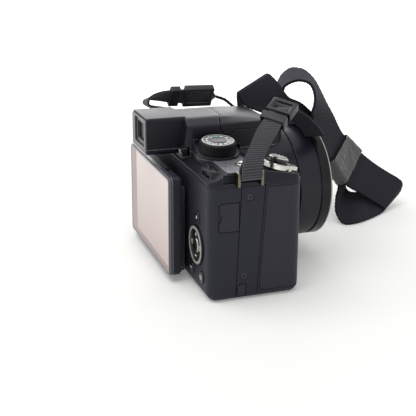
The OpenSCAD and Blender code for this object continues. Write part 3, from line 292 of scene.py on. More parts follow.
@dataclass(frozen=True)
class DisplayFinish(CentredFinish):
    """Cover glass with a pale active area, paler towards its top as a painted reflection, and a darker
    printed border.
    """

    half_mm: tuple[float, float] = (31.6, 23.6)
    border: str = "#a28b87"
    soft_mm: float = 0.5

    def tint(self, tree: Tree, place: Socket) -> Socket:
        """Draw the active area, paler towards its top as a painted reflection, and the border round it.

        Args:
            tree: Node tree of the material.
            place: Coordinates in metres.

        Returns:
            The colour.
        """
        centred = self.centred(tree, place)
        size = add_node(tree, "VectorMath", {0: centred}, operation="ABSOLUTE")
        split = add_node(tree, "SeparateXYZ", {0: size})
        wide, high = (
            add_node(
                tree, "MapRange",
                {0: split.outputs[axis], 1: (half - self.soft_mm) * MM, 2: (half + self.soft_mm) * MM},
            )
            for axis, half in zip((0, 2), self.half_mm)
        )
        outside = add_node(tree, "Math", {0: wide, 1: high}, operation="MAXIMUM")
        # Painted reflection: the active area runs from the first colour at its foot to the paler second
        # colour at its top.
        level = add_node(tree, "SeparateXYZ", {0: centred}).outputs[2]
        top = self.half_mm[1] * MM
        rise = add_node(tree, "MapRange", {0: level, 1: -top, 2: top})
        colours = {6: linear(self.colour), 7: linear(self.second)}
        area = add_node(tree, "Mix", {0: rise, **colours}, data_type="RGBA").outputs[2]
        edged = {0: outside, 6: area, 7: linear(self.border)}
        return add_node(tree, "Mix", edged, data_type="RGBA").outputs[2]


@dataclass(frozen=True)
class WovenFinish(Finish):
    """Webbing woven in ribs across its length, drawn in the piece's own UV map, in metres."""

    rib_mm: float = 1.25
    thread_mm: float = 1.0
    thread_share: float = 0.3
    waver: float = 0.6
    waver_scale: float = 3.0

    def coords(self, tree: Tree) -> Socket:
        """Give the UV map, whose U runs along the webbing in metres."""
        return add_node(tree, "TexCoord", {}).outputs["UV"]

    def height(self, tree: Tree, place: Socket) -> Socket:
        """Draw ribs across the length and threads along it.

        Args:
            tree: Node tree of the material.
            place: UV coordinates in metres.

        Returns:
            The relief from 0 to 1.
        """
        ribs = {
            "Vector": place, "Scale": wave_scale(self.rib_mm), "Distortion": self.waver,
            "Detail Scale": self.waver_scale,
        }
        threads = {"Vector": place, "Scale": wave_scale(self.thread_mm)}
        across = add_node(tree, "TexWave", ribs, bands_direction="X").outputs["Fac"]
        along = add_node(tree, "TexWave", threads, bands_direction="Y").outputs["Fac"]
        weave = {0: self.thread_share, 2: across, 3: along}
        return add_node(tree, "Mix", weave, data_type="FLOAT").outputs[0]

    def tint(self, tree: Tree, place: Socket) -> Socket:
        """Darken the grooves between the ribs with painted shade."""
        woven = {0: self.height(tree, place), 6: linear(self.second), 7: linear(self.colour)}
        return add_node(tree, "Mix", woven, data_type="RGBA").outputs[2]


@cache
def material_of(finish: Finish) -> bpy.types.Material:
    """Give a finish's material, made when it is first asked for."""
    return finish.make()


def deselect() -> None:
    """Leave nothing selected, so that an operator acts on the new piece alone."""
    bpy.ops.object.select_all(action="DESELECT")


def pick_faces(piece: Piece, test: FaceTest) -> None:
    """Select a piece's faces and open it for editing.

    Args:
        piece: The mesh object.
        test: Says whether a face is selected.
    """
    bpy.context.view_layer.objects.active = piece
    bpy.ops.object.mode_set(mode="EDIT")
    bpy.ops.mesh.select_mode(type="FACE")
    bpy.ops.mesh.select_all(action="DESELECT")
    bpy.ops.object.mode_set(mode="OBJECT")
    for face in piece.data.polygons:
        face.select = test(face)
    bpy.ops.object.mode_set(mode="EDIT")


def new_piece(name: str, add: Callable[..., set[str]], **settings: object) -> Piece:
    """Add a primitive as the start of a piece.

    Args:
        name: Name of the piece.
        add: Operator that adds the primitive.
        **settings: The operator's settings.

    Returns:
        The new object, selected alone.
    """
    deselect()
    add(**settings)
    piece = bpy.context.object
    piece.name = name
    return piece


def start_block(name: str, size: Vector) -> Piece:
    """Add a block of a size about the origin.

    Args:
        name: Name of the piece.
        size: Its three sides in metres.

    Returns:
        The block, with its size in its mesh.
    """
    piece = new_piece(name, bpy.ops.mesh.primitive_cube_add, size=1)
    piece.scale = size
    bpy.ops.object.transform_apply(location=False, rotation=False, scale=True)
    return piece


def start_disc(name: str, radius: float, thick: float, sides: int) -> Piece:
    """Add a flat prism of a radius and a thickness in metres about the origin."""
    return new_piece(
        name, bpy.ops.mesh.primitive_cylinder_add, vertices=sides, radius=radius, depth=thick
    )


def open_window(piece: Piece, rim: float, test: FaceTest) -> None:
    """Open a window through a piece, between two of its faces.

    Args:
        piece: The mesh object.
        rim: Width left round the window in metres.
        test: Says which two faces.
    """
    pick_faces(piece, test)
    bpy.ops.mesh.inset(thickness=rim, use_individual=True)
    bpy.ops.mesh.bridge_edge_loops()
    bpy.ops.object.mode_set(mode="OBJECT")


def finish_with(piece: Piece, kind: str, curve: float, **settings: object) -> None:
    """Apply one modifier to a piece and shade it smooth.

    Args:
        piece: The mesh object.
        kind: Blender's name for the modifier's type.
        curve: Widest angle that is shaded as one curve, in radians.
        **settings: The modifier's own properties.
    """
    deselect()
    piece.select_set(True)
    bpy.context.view_layer.objects.active = piece
    modifier = piece.modifiers.new(kind.lower(), kind)
    for name, value in settings.items():
        setattr(modifier, name, value)
    bpy.ops.object.modifier_apply(modifier=modifier.name)
    bpy.ops.object.shade_smooth_by_angle(angle=curve)


def soften(piece: Piece, width: float, segments: int = 2) -> None:
    """Bevel a piece's sharp edges by a width in metres and shade it smooth."""
    finish_with(piece, "BEVEL", HARD_CURVE, width=width, segments=segments, limit_method="ANGLE")


def copy_to(piece: Piece, place: Matrix) -> Piece:
    """Copy a piece, mesh and all, to a place.

    Args:
        piece: The mesh object, at the origin.
        place: Where the copy goes.

    Returns:
        The copy, at the origin with its place in its mesh.
    """
    twin = piece.copy()
    twin.data = piece.data.copy()
    bpy.context.collection.objects.link(twin)
    twin.data.transform(place)
    return twin


def join_pieces(name: str, pieces: list[Piece]) -> Piece:
    """Join several pieces into one.

    Args:
        name: Name of the joined piece.
        pieces: The mesh objects.

    Returns:
        The joined piece.
    """
    deselect()
    for piece in pieces:
        piece.select_set(True)
    bpy.context.view_layer.objects.active = pieces[0]
    bpy.ops.object.join()
    pieces[0].name = name
    return pieces[0]


def turn_ring(name: str, place: Matrix, section: Section, steps: int) -> Piece:
    """Spin a section about the local Z axis into a closed ring.

    Args:
        name: Name of the ring.
        place: Where the ring's own frame lies.
        section: Radius and height of the section's corners, in millimetres.
        steps: Steps of the turn.

    Returns:
        The ring, with its place in its mesh.
    """
    ring = new_piece(
        name, bpy.ops.mesh.primitive_circle_add, vertices=len(section), radius=MM, fill_type="NOTHING"
    )
    for vertex, (radius, height) in zip(ring.data.vertices, section):
        vertex.co = (radius * MM, 0, height * MM)
    bpy.ops.object.mode_set(mode="EDIT")
    bpy.ops.mesh.select_all(action="SELECT")
    bpy.ops.mesh.spin(steps=steps, angle=math.tau, center=(0, 0, 0), axis=(0, 0, 1), use_auto_merge=True)
    bpy.ops.mesh.select_all(action="SELECT")
    bpy.ops.mesh.remove_doubles(threshold=MERGE)
    bpy.ops.mesh.normals_make_consistent(inside=False)
    bpy.ops.object.mode_set(mode="OBJECT")
    bpy.ops.object.shade_smooth_by_angle(angle=HARD_CURVE)
    ring.data.transform(place)
    return ring


def facing(at: Vector, out: Vector, up: Vector) -> Matrix:
    """Give a frame whose Z looks out of a surface and whose Y points up it.

    Args:
        at: Origin in metres.
        out: Direction out of the surface.
        up: Rough direction of Y.

    Returns:
        The frame as a matrix.
    """
    z = out.normalized()
    x = up.cross(z).normalized()
    y = z.cross(x)
    return Matrix.Translation(at) @ Matrix((x, y, z)).transposed().to_4x4()


def settle(piece: Piece, body: str, finish: Finish) -> None:
    """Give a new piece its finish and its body.

    Args:
        piece: The mesh object.
        body: CAD body that it moves with.
        finish: Its finish.
    """
    piece.data.materials.clear()
    piece.data.materials.append(material_of(finish))
    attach(piece, body)
    LOG.info("%s rides on %s", piece.name, body)


class MarkShape(Enum):
    """Plain shapes of the printed marks."""

    BAR = "bar"
    RING = "ring"
    WEDGE = "wedge"
    WINDOW = "window"


@dataclass(frozen=True)
class MarkPrint:
    """Printed marks: their size and thickness in millimetres, and shares of the size."""

    size: float
    thick: float = 0.06
    ring_sides: int = 16
    ring_rim: float = 0.16
    window_high: float = 0.75
    window_rim: float = 0.17
    bar_high: float = 0.3
    edge: float = 0.3

    def model(self, shape: MarkShape) -> Piece:
        """Model one mark that lies on the origin, facing up.

        Args:
            shape: Which mark.

        Returns:
            The mark.
        """
        size, thick = self.size * MM, self.thick * MM
        if shape is MarkShape.WEDGE:
            mark = start_disc("mark", size / 2, thick, 3)
        elif shape is MarkShape.RING:
            mark = start_disc("mark", size / 2, thick, self.ring_sides)
            open_window(mark, size * self.ring_rim, lambda face: abs(face.normal.z) > ALONG)
        elif shape is MarkShape.WINDOW:
            mark = start_block("mark", Vector((size, size * self.window_high, thick)))
            open_window(mark, size * self.window_rim, lambda face: abs(face.normal.z) > ALONG)
        else:
            mark = start_block("mark", Vector((size, size * self.bar_high, thick)))
        soften(mark, thick * self.edge, 1)
        mark.data.transform(Matrix.Translation((0, 0, thick / 2)))
        return mark


# Centre of the mode dial's top, in millimetres.
DIAL_CENTRE = (30.12, -4.7, 74.667)
# Colour of an edge that lies in the shade of a joint.
SHADE = "#0b0b12"

# Black ABS from a spark-eroded mould: an even fine grain that keeps its shine dull.
BODY_ABS = Finish(
    "moulded black ABS", "#20202b", "#262632", grain_mm=0.35, grain_strength=0.35, specular=0.25,
)
# The end strip of the same ABS: its edges lie in the shade of the joints beside it.
STRIP_ABS = replace(BODY_ABS, name="moulded black ABS strip", wear_and_edge_shading=SHADE, wear_and_edge_shading_mm=0.4)
# The same ABS from a smoother mould: its deck has pale specks of painted sheen for the light above it, and
# its pale edges are rubbed and carry a painted highlight.
DECK_ABS = DeckFinish(
    "satin black ABS", "#12121c", "#171722", roughness=0.4, grain_mm=0.6, grain_strength=0.35,
    wear_and_edge_shading="#5c5c66", wear_and_edge_shading_mm=0.4, specular=0.22,
)
# Lid and viewfinder from the same mould finish, with crisp dark split lines: their edges are darkened with
# painted shade from the joints.
HUMP_ABS = replace(DECK_ABS, name="satin black ABS lid", wear_and_edge_shading=SHADE, wear_and_edge_shading_mm=0.3)
# Soft-touch rubber on the grip: dead matt with a slightly coarser skin, its edges darkened with painted shade
# from the joints.
GRIP_RUBBER = Finish(
    "soft-touch black rubber", "#26262f", "#2c2c37", roughness=0.6, grain_mm=0.7, grain_depth_mm=0.04,
    grain_strength=0.4, wear_and_edge_shading=SHADE, wear_and_edge_shading_mm=0.4, specular=0.3,
)
# Black anodised aluminium tube: smooth, with a low even sheen.
BARREL = Finish(
    "black anodised aluminium", "#171722", "#1c1c28", roughness=0.4, spread=0.03, grain_mm=0.25,
    grain_strength=0.12, specular=0.3,
)
# Ridged edges of the dials: deep black, so that the ridges stay in shadow.
DIAL_SIDE = Finish("ridged black ABS", "#0b0b12", "#0e0e16", grain_strength=0.15, specular=0.2)
# Surround of the eyepiece: dark grey with a satin face and a painted highlight along its edges.
EYEPIECE = Finish(
    "satin grey ABS", "#34343a", "#3c3c42", roughness=0.32, grain_strength=0.15, edge_mm=0.4, wear_and_edge_shading="#9a9aa0",
)
# Eyepiece window: a smoked plate in the shade of its frame.
SMOKED = Finish(
    "smoked acrylic", "#08080d", "#0b0b11", roughness=0.2, spread=0.02, grain_mm=4, grain_strength=0.0,
    specular=0.15,
)
# Gloss black paint: smooth under a thin clear coat, with paler edges that are rubbed and carry a painted
# highlight.
GLOSS_PAINT = Finish(
    "gloss black paint", "#0b0b14", "#0f0f18", roughness=0.3, spread=0.03, grain_mm=1.2, grain_strength=0.03,
    edge_mm=0.4, wear_and_edge_shading="#85858e", specular=0.2, coat=(0.1, 0.1),
)
# Buttons of ABS from a polished mould: black with a clear shine.
BUTTON_ABS = Finish(
    "polished black ABS", "#141418", "#18181c", roughness=0.28, spread=0.03, grain_mm=0.8,
    grain_strength=0.05,
)
# Painted metal edge of the screen: mauve grey with a satin lustre and a painted highlight along its edges.
BEZEL = Finish(
    "satin grey paint", "#2c2a34", "#36343f", roughness=0.36, grain_mm=0.3, grain_strength=0.1, edge_mm=0.4,
    wear_and_edge_shading="#a5a3aa", coat=(0.3, 0.2),
)
# Chrome plating on plastic: a bright, barely clouded mirror.
CHROME = Finish(
    "bright chrome plating", "#bbb9b3", "#c7c5be", roughness=0.16, spread=0.03, cloud_mm=4, grain_mm=1.5,
    grain_strength=0.04, edge_mm=0.3, metallic=1.0,
)
# Silver lacquer on plastic: bright without a mirror.
SILVER = Finish(
    "silver lacquer", "#b2b1ad", "#c0bfbb", roughness=0.32, spread=0.04, cloud_mm=4, grain_mm=0.5,
    grain_strength=0.08, metallic=0.35,
)
# Aluminium disc turned on a lathe; its rings are drawn coarser than a real cut so that they show.
DIAL_TOP = TurnedFinish(
    "turned aluminium", "#5f5e62", "#6a696d", roughness=0.42, grain_depth_mm=0.01, grain_strength=0.3,
    metallic=1.0, centre_mm=DIAL_CENTRE,
)
# Nickel-plated steel with a little yellow in it and fine scratches.
STEEL = Finish(
    "nickel-plated steel", "#757160", "#605c4e", roughness=0.3, spread=0.08, cloud_mm=3, grain_mm=0.5,
    grain_strength=0.1, metallic=1.0,
)
# Sheet steel under black stove enamel: a soft shine, with paler edges that are a painted highlight.
BRACKET = Finish(
    "black enamelled steel", "#17171f", "#1c1c25", roughness=0.34, grain_mm=0.6, grain_strength=0.12,
    wear_and_edge_shading="#6c6c76", coat=(0.2, 0.25),
)
# Blackened screw heads: dull grey black with dark rims.
SCREW = Finish(
    "black oxide steel", "#2c2c34", "#383842", roughness=0.4, cloud_mm=1.5, grain_mm=0.3, grain_strength=0.15,
    wear_and_edge_shading="#08080c", wear_and_edge_shading_mm=0.6,
)
# Coated lens glass: near black in the depth, with a faint violet from its coating.
LENS_GLASS = Finish(
    "coated optical glass", "#07060c", "#0a0812", roughness=0.04, spread=0.01, cloud_mm=20, grain_mm=6,
    grain_strength=0.0, edge_mm=0.1, coat=(1.0, 0.02),
    values=(("Thin Film Thickness", 420.0), ("Thin Film IOR", 1.38)),
)
# Toughened cover glass over a pale pink reflective film, painted paler towards its top as a painted
# reflection.
SCREEN_GLASS = DisplayFinish(
    "cover glass over pale film", "#cdb9b5", "#ecdcd8", roughness=0.14, spread=0.02, grain_mm=8,
    grain_strength=0.0, edge_mm=0.3, specular=0.3, centre_mm=(-2.2, -31.2, 32.25),
)
# Liquid-crystal panel when it is off: a flat pale grey.
PANEL = Finish("display panel", "#b9a9a8", "#c2b2b1", roughness=0.3, grain_mm=0.3, grain_strength=0.05)
# Milky acrylic in front of the flash.
ACRYLIC = Finish(
    "ribbed acrylic", "#e8e8e6", "#dcdcdc", roughness=0.25, grain_mm=0.8, grain_depth_mm=0.1,
    grain_strength=0.3, values=(("Transmission Weight", 0.4), ("IOR", 1.49)),
)
# Circuit board under green solder resist: clouded where the copper lies below.
BOARD = Finish(
    "green solder resist", "#1f4a35", "#2a5a40", roughness=0.35, cloud_mm=2.5, grain_mm=0.6,
    grain_strength=0.2,
)
# Moulded cases of the battery and the card: plain matt grey.
CELL = Finish("grey polycarbonate", "#3c3c42", "#46464c", roughness=0.45, grain_strength=0.2)
# Polyester webbing: ribs across it, pale on their backs and darkened with painted shade in the grooves.
WEBBING = WovenFinish(
    "ribbed polyester webbing", "#58575d", "#1c1c22", roughness=0.8, spread=0.05, grain_depth_mm=0.22,
    grain_strength=0.8, edge_mm=0.1, specular=0.2, values=(("Sheen Weight", 0.2),),
)
# The neck band: the same yarn, darker, in flat ribs with painted shade in their grooves; the webbing takes it
# too where it runs forward over the lens.
BAND = replace(
    WEBBING, name="flat polyester band", colour="#2a2a34", second="#14141c", grain_depth_mm=0.12,
    grain_strength=0.6, values=(), rib_mm=0.8, thread_mm=0.9,
)
# Grey packing tape: thin glossy film, crumpled where it was wound by hand.
TAPE = Finish(
    "grey packing tape", "#505050", "#3a3a3c", roughness=0.22, spread=0.08, cloud_mm=5, grain_mm=3.0,
    grain_depth_mm=0.5, grain_strength=0.7, edge_mm=0.05, values=(("Alpha", 0.9),),
)
# Buckles in acetal: hard, waxy black with a soft shine and a painted highlight along their edges.
ACETAL = Finish(
    "black acetal", "#1c1c24", "#23232b", roughness=0.4, grain_mm=0.6, grain_strength=0.12, edge_mm=0.2,
    wear_and_edge_shading="#5f5f68", specular=0.35,
)
# Printing inks: flat colours with a dull surface.
INK_LIGHT = Finish(
    "white pad print", "#ecece8", "#e2e2de", grain_mm=0.2, grain_strength=0.1, edge_mm=0.02,
)
INK_DARK = replace(INK_LIGHT, name="black pad print", colour="#2b2b2d", second="#343436")
INK_GREEN = replace(INK_LIGHT, name="green pad print", colour="#8fdcc2", second="#83d2b7")

CAD_FINISHES: list[tuple[Finish, tuple[str, ...]]] = [
    (STRIP_ABS, ("mid_frame",)),
    (BODY_ABS, ("rear_cover", "front_cover", "battery_door", "screen_shell", "lens_base", "battery_box")),
    (DECK_ABS, ("top_cover",)),
    (HUMP_ABS, ("flash_head", "evf_housing")),
    (GRIP_RUBBER, ("grip_rubber", "connector_door", "dc_flap")),
    (EYEPIECE, ("eyepiece_frame",)),
    (SMOKED, ("eyepiece_lens",)),
    (BARREL, ("lens_shroud", "lens_ring", "zoom_barrel_outer", "zoom_barrel_inner", "iris_unit")),
    (DIAL_SIDE, ("mode_dial", "command_dial", "diopter_dial")),
    (GLOSS_PAINT, ("front_ring",)),
    (BUTTON_ABS, ("selector_pad", "play_button", "menu_button", "delete_button", "monitor_button",
                  "shutter_button")),
    (BEZEL, ("screen_frame",)),
    (CHROME, ("zoom_lever", "confirm_button", "power_button", "flash_tube")),
    (DIAL_TOP, ("mode_dial_cap",)),
    (STEEL, ("strap_lugs", "tripod_bush", "bracket_pin", "screen_pin", "flash_pin", "battery_door_pin",
             "connector_sockets")),
    (BRACKET, ("screen_bracket",)),
    (SCREW, ("case_screws",)),
    (LENS_GLASS, ("front_element", "rear_group", "evf_display")),
    (SCREEN_GLASS, ("screen_glass",)),
    (PANEL, ("screen_panel", "sensor_unit")),
    (ACRYLIC, ("flash_window",)),
    (BOARD, ("main_board", "control_board")),
    (CELL, ("battery", "memory_card")),
]


@dataclass
class CadDress:
    """Finishes on the CAD nodes that stay as they are."""

    weld_mm: float = 0.001
    crease: float = 28.0

    def dress(self) -> None:
        """Give each node its material and smooth its drawn curves."""
        for finish, names in CAD_FINISHES:
            for name in names:
                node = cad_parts[name]
                node.data.materials.clear()
                node.data.materials.append(material_of(finish))
                self.smooth(node)
                LOG.info("%s is %s", name, finish.name)

    def smooth(self, node: Piece) -> None:
        """Shade a node's shallow facets as one curve and keep its creases.

        Args:
            node: The CAD node's object.
        """
        for face in node.data.polygons:
            face.use_smooth = True
        weld = node.modifiers.new("close", "WELD")
        weld.merge_threshold = self.weld_mm * MM
        split = node.modifiers.new("creases", "EDGE_SPLIT")
        split.split_angle = math.radians(self.crease)
        split.use_edge_sharp = False


@dataclass
class ModeDial:
    """Cap of the mode dial, in millimetres: bright rim, grey hub and a printed ring of plain marks."""

    centre: Point = DIAL_CENTRE
    tilt: float = 6.0
    rim: tuple[float, float] = (7.6, 8.3)
    rim_h: float = 0.22
    rim_wall: float = 0.088
    rim_steps: int = 72
    hub_r: float = 4.1
    hub_sides: int = 48
    ring_r: float = 5.9
    light: MarkPrint = MarkPrint(2.5)
    dark: MarkPrint = MarkPrint(2.0)
    marks: int = 12
    green_at: float = 84.0
    order: tuple[MarkShape, ...] = (MarkShape.WINDOW, MarkShape.RING, MarkShape.WEDGE, MarkShape.BAR)

    def build(self) -> None:
        """Model the rim and the hub and print the marks, one of them green."""
        top = Matrix.Translation(Vector(self.centre) * MM) @ Matrix.Rotation(math.radians(self.tilt), 4, "Y")
        inner, outer = self.rim
        section = (
            (inner, 0), (outer, 0), (outer, self.rim_wall), (outer - self.rim_h, self.rim_h),
            (inner, self.rim_h),
        )
        settle(turn_ring("dial_rim", top, section, self.rim_steps), "mode", SILVER)
        hub = start_disc("dial_hub", self.hub_r * MM, self.rim_h * MM, self.hub_sides)
        soften(hub, self.rim_wall * MM)
        hub.data.transform(top @ Matrix.Translation((0, 0, self.rim_h * MM / 2)))
        settle(hub, "mode", DIAL_TOP)
        self.print_marks(top)

    def print_marks(self, top: Matrix) -> None:
        """Print a ring of light marks with a dark bar after each.

        Args:
            top: Frame of the dial's top.
        """
        masters = [self.light.model(shape) for shape in self.order]
        bar = self.dark.model(MarkShape.BAR)
        out = Matrix.Translation((0, self.ring_r * MM, 0))
        lengthwise = out @ Matrix.Rotation(math.pi / 2, 4, "Z")
        light, dark = [], []
        for k in range(self.marks):
            angle = math.tau * k / self.marks + math.radians(self.green_at)
            between = angle + math.pi / self.marks
            master = masters[k % len(masters)]
            light.append(copy_to(master, top @ Matrix.Rotation(angle, 4, "Z") @ out))
            dark.append(copy_to(bar, top @ Matrix.Rotation(between, 4, "Z") @ lengthwise))
        for master in [*masters, bar]:
            bpy.data.objects.remove(master)
        light[0].name = "dial_program_mark"
        settle(light[0], "mode", INK_GREEN)
        settle(join_pieces("dial_light_marks", light[1:]), "mode", INK_LIGHT)
        settle(join_pieces("dial_dark_marks", dark), "mode", INK_DARK)


@dataclass
class ShutterTrim:
    """Bright rim on the edge of the black shutter button, in millimetres."""

    at: Point = (52, 17.8, 63.338)
    tilt: float = -15.0
    section: Section = (
        (4.95, 6.08), (5.02, 6.14), (4.42, 6.68), (4.1, 6.64), (4.1, 6.5), (4.4, 6.56),
    )
    steps: int = 64

    def build(self) -> None:
        """Spin the rim on the button's chamfer."""
        place = Matrix.Translation(Vector(self.at) * MM) @ Matrix.Rotation(math.radians(self.tilt), 4, "X")
        rim = turn_ring("shutter_rim", place, self.section, self.steps)
        settle(rim, "shutter", CHROME)


@dataclass
class LensEdgeHighlight:
    """Silver line on the front edge of the lens ring, a painted highlight, in millimetres."""

    axis_at: Point = (0, 0, 40)
    section: Section = (
        (31.3, 60.4), (31.42, 60.45), (31.42, 60.6), (31.12, 60.95), (31.02, 60.85),
    )
    steps: int = 128

    def build(self) -> None:
        """Spin the line about the lens axis."""
        place = facing(Vector(self.axis_at) * MM, FRONT, UP)
        line = turn_ring("lens_edge_highlight", place, self.section, self.steps)
        settle(line, "body", SILVER)


@dataclass
class RearControls:
    """Bright ring and marks of the selector, the marks of the small buttons and a painted glint on the
    monitor button, in millimetres.
    """

    selector_at: Point = (42.7, -20.0, 24.6)
    ring: tuple[float, float] = (8.3, 9.7)
    ring_foot: float = 1.1
    ring_wall: float = 1.27
    ring_top: float = 1.32
    ring_slope: float = 0.2
    ring_steps: int = 72
    groove: float = 0.7
    mark_r: float = 5.7
    marks: MarkPrint = MarkPrint(2.4)
    around: tuple[MarkShape, ...] = (MarkShape.WEDGE, MarkShape.RING, MarkShape.BAR, MarkShape.WINDOW)
    # The monitor button's pale mark is a painted glint on its cap; the marks of the other buttons are print.
    buttons: tuple[tuple[str, Point, MarkShape], ...] = (
        ("play", (43.9, -20.8, 39.7), MarkShape.WEDGE), ("menu", (35.2, -20.8, 9.8), MarkShape.BAR),
        ("delete", (50.5, -20.8, 10.2), MarkShape.WINDOW), ("monitor", (14.5, -20.1, 66.3), MarkShape.WINDOW),
    )

    def build(self) -> None:
        """Model the ring and print the marks."""
        place = facing(Vector(self.selector_at) * MM, BACK, UP)
        inner, outer = self.ring
        section = (
            (inner, self.ring_foot), (outer, self.ring_foot), (outer, self.ring_wall),
            (outer - self.ring_slope, self.ring_top), (inner + self.ring_slope, self.ring_top),
            (inner, self.ring_wall),
        )
        ring = turn_ring("selector_rim", place, section, self.ring_steps)
        settle(ring, "selector", SILVER)
        out = Matrix.Translation(Vector((0, self.mark_r, self.groove)) * MM)
        marks = []
        for k, shape in enumerate(self.around):
            mark = self.marks.model(shape)
            mark.data.transform(place @ Matrix.Rotation(math.tau * k / len(self.around), 4, "Z") @ out)
            marks.append(mark)
        settle(join_pieces("selector_marks", marks), "selector", INK_LIGHT)
        for body, at, shape in self.buttons:
            mark = self.marks.model(shape)
            mark.data.transform(facing(Vector(at) * MM, BACK, UP))
            mark.name = f"{body}_mark"
            settle(mark, body, INK_LIGHT)


# Route of the neck band by its two edges, in millimetres, as in the part's source.
BAND_EDGES = [
    ((-45.5, 21.5, 81), (-54, 24.5, 79.5)), ((-44, 27, 79), (-56.5, 31, 76.5)),
    ((-37, 33, 73), (-60, 42, 70)), ((-33, 31, 78), (-54, 49, 81)), ((-28, 28.5, 84), (-45, 51.5, 89.5)),
    ((-24.5, 27.5, 87), (-39.5, 52, 94)), ((-24, 29, 83), (-35.5, 56, 90)),
    ((-24, 33, 78.5), (-34, 60.5, 84)), ((-24.5, 42.5, 74.5), (-40.5, 68, 78)),
    ((-26, 53, 67.5), (-43, 77, 73.5)), ((-29, 64.5, 58), (-47, 87.5, 65)), ((-33, 78, 47.5), (-51, 101, 54)),
    ((-35, 90.5, 37), (-55, 110.5, 46)), ((-35, 100.5, 22), (-52.5, 120, 36)),
    ((-32, 98, 13.5), (-51, 118.5, 26)), ((-25.5, 95, 6.5), (-48, 112.5, 18)),
    ((-19, 97, 1.2), (-42.5, 112.5, 13)), ((-18, 106, 1), (-41, 122.5, 11.5)),
    ((-22.5, 117, 0.9), (-44, 137.5, 6.5)), ((-28.5, 127.5, 0.9), (-47, 151, 5.5)),
    ((-31.5, 132.5, 2.6), (-48, 155.5, 12.5)), ((-32, 129, 5.8), (-48.5, 151.5, 17)),
    ((-32, 124, 9), (-48.5, 146.5, 20)), ((-32, 113.5, 16), (-49.5, 135, 27.5)),
    ((-32, 103.5, 23), (-49.5, 123, 37)), ((-32, 92.5, 39), (-52.5, 112.5, 48)),
    ((-32, 82, 57.5), (-49.5, 106.5, 55)), ((-32, 79, 69), (-49.5, 102.5, 62.5)),
    ((-32.5, 80.5, 75), (-55, 100, 70)), ((-33.5, 81, 80.5), (-58.5, 97.5, 77)),
    ((-35, 79.5, 86), (-61.5, 94, 84.5)), ((-37, 76.5, 88.5), (-64.5, 89, 90)),
    ((-39.5, 73, 89), (-67, 84.5, 91.5)), ((-42, 70, 88), (-70, 81, 91)), ((-44, 67, 86), (-72, 77, 87.5)),
    ((-45, 65.5, 84), (-73.5, 75, 83)), ((-46, 64.5, 78), (-72, 72, 75)), ((-47, 63, 70), (-65, 69, 67)),
    ((-43.5, 60.5, 63), (-51.5, 64, 61.5)),
]
# Routes of the narrow webbing by its middle and the direction across it, in millimetres.
RIGHT_ROUTE = [
    ((49.8, 18.6, 89.6), (0.5, 0.86, 0)), ((53.2, 14.6, 87), (0.45, 0.9, 0)),
    ((56.6, 10.2, 83.6), (0.35, 0.94, 0)), ((61.2, 5, 78), (0.15, 0.98, 0)), ((65, 0.8, 73), (0, 1, 0)),
    ((67.1, -0.7, 69.5), (0, 1, 0)), ((67.4, -0.9, 66.6), (0, 1, 0)), ((66.8, -0.9, 64.6), (0, 1, 0)),
    ((65.4, -0.9, 63.9), (0, 1, 0)), ((63.9, -0.9, 64.6), (0, 1, 0)), ((63.2, -0.9, 66.6), (0, 1, 0)),
    ((62.6, 0, 70), (0, 1, 0)), ((58.4, 5.4, 76), (0.15, 0.98, 0)), ((54, 11.2, 81.8), (0.35, 0.94, 0)),
    ((49.4, 17, 86.9), (0.5, 0.86, 0)), ((44.8, 23.9, 92), (0.5, 0.86, 0)), ((38, 36, 86), (0.5, 0.86, 0)),
    ((30, 48, 76), (0.45, 0.9, 0)), ((21, 54, 70.5), (0.2, 0.98, 0)), ((10, 55, 73.4), (0, 1, 0)),
    ((0, 55, 74.4), (0, 1, 0)), ((-12, 53, 72.4), (0, 1, 0)), ((-22, 49, 67.2), (0, 1, 0)),
    ((-29, 50.5, 60.8), (0.1, 1, 0)), ((-33.5, 53.5, 55), (0.1, 1, 0.1)),
    ((-38, 57, 51.5), (0.05, 0.95, 0.3)), ((-43, 59.5, 52.5), (-0.25, 0.85, 0.45)),
    ((-46.5, 61.5, 57), (-0.7, 0.65, 0.2)), ((-47.5, 62.2, 61.5), (-0.9, 0.4, -0.15)),
]
LEFT_ROUTE = [
    ((-58.4, -1.3, 71), (0, 1, 0)), ((-58.9, -0.9, 66.6), (0, 1, 0)), ((-58.3, -0.9, 64.6), (0, 1, 0)),
    ((-56.9, -0.9, 63.9), (0, 1, 0)), ((-55.4, -0.9, 64.6), (0, 1, 0)), ((-54.7, -0.9, 66.6), (0, 1, 0)),
    ((-54.4, -2, 69.5), (0.1, 1, 0)), ((-54, -7, 73), (0.5, 0.85, 0.1)), ((-53, -14, 75.5), (0.85, 0.5, 0.1)),
    ((-52, -20, 78), (1, 0.1, 0.05)), ((-51, -19, 81.5), (1, 0, 0.3)), ((-50.2, -13, 82.6), (0.8, 0, 0.6)),
    ((-50, -3.4, 82), (0.55, 0, 0.84)), ((-50, 4, 81.7), (0.5, 0, 0.87)), ((-50, 12, 81.5), (0.5, 0, 0.87)),
    ((-50, 19, 81), (0.65, -0.15, 0.7)), ((-50, 22.8, 80.3), (0.93, -0.33, 0.16)),
]
# Lower and upper end of the tape, each by its two edges, in millimetres.
TAPE_ENDS = [((-33.5, 102, 23), (-51, 121.5, 37)), ((-33.5, 92, 38), (-53.5, 111.5, 47))]
# Buckles: middle, direction along the strap, direction across it, length, inner height and rim.
BUCKLES = [
    ((44.8, 23.9, 92), (-0.5, 0.7, 0.45), (0.5, 0.86, 0), 9, 2.2, 1.2),
    ((50.2, 17, 87.8), (-0.5, 0.66, 0.5), (0.5, 0.86, 0), 4.5, 4.2, 1),
    ((-50, 11.4, 81.5), (0, 1, -0.03), (0.5, 0, 0.87), 18, 2.2, 1.2),
    ((-50, -3.4, 82), (0, 1, -0.04), (0.55, 0, 0.84), 6, 2.2, 1),
]
Edges = list[tuple[Vector, Vector]]


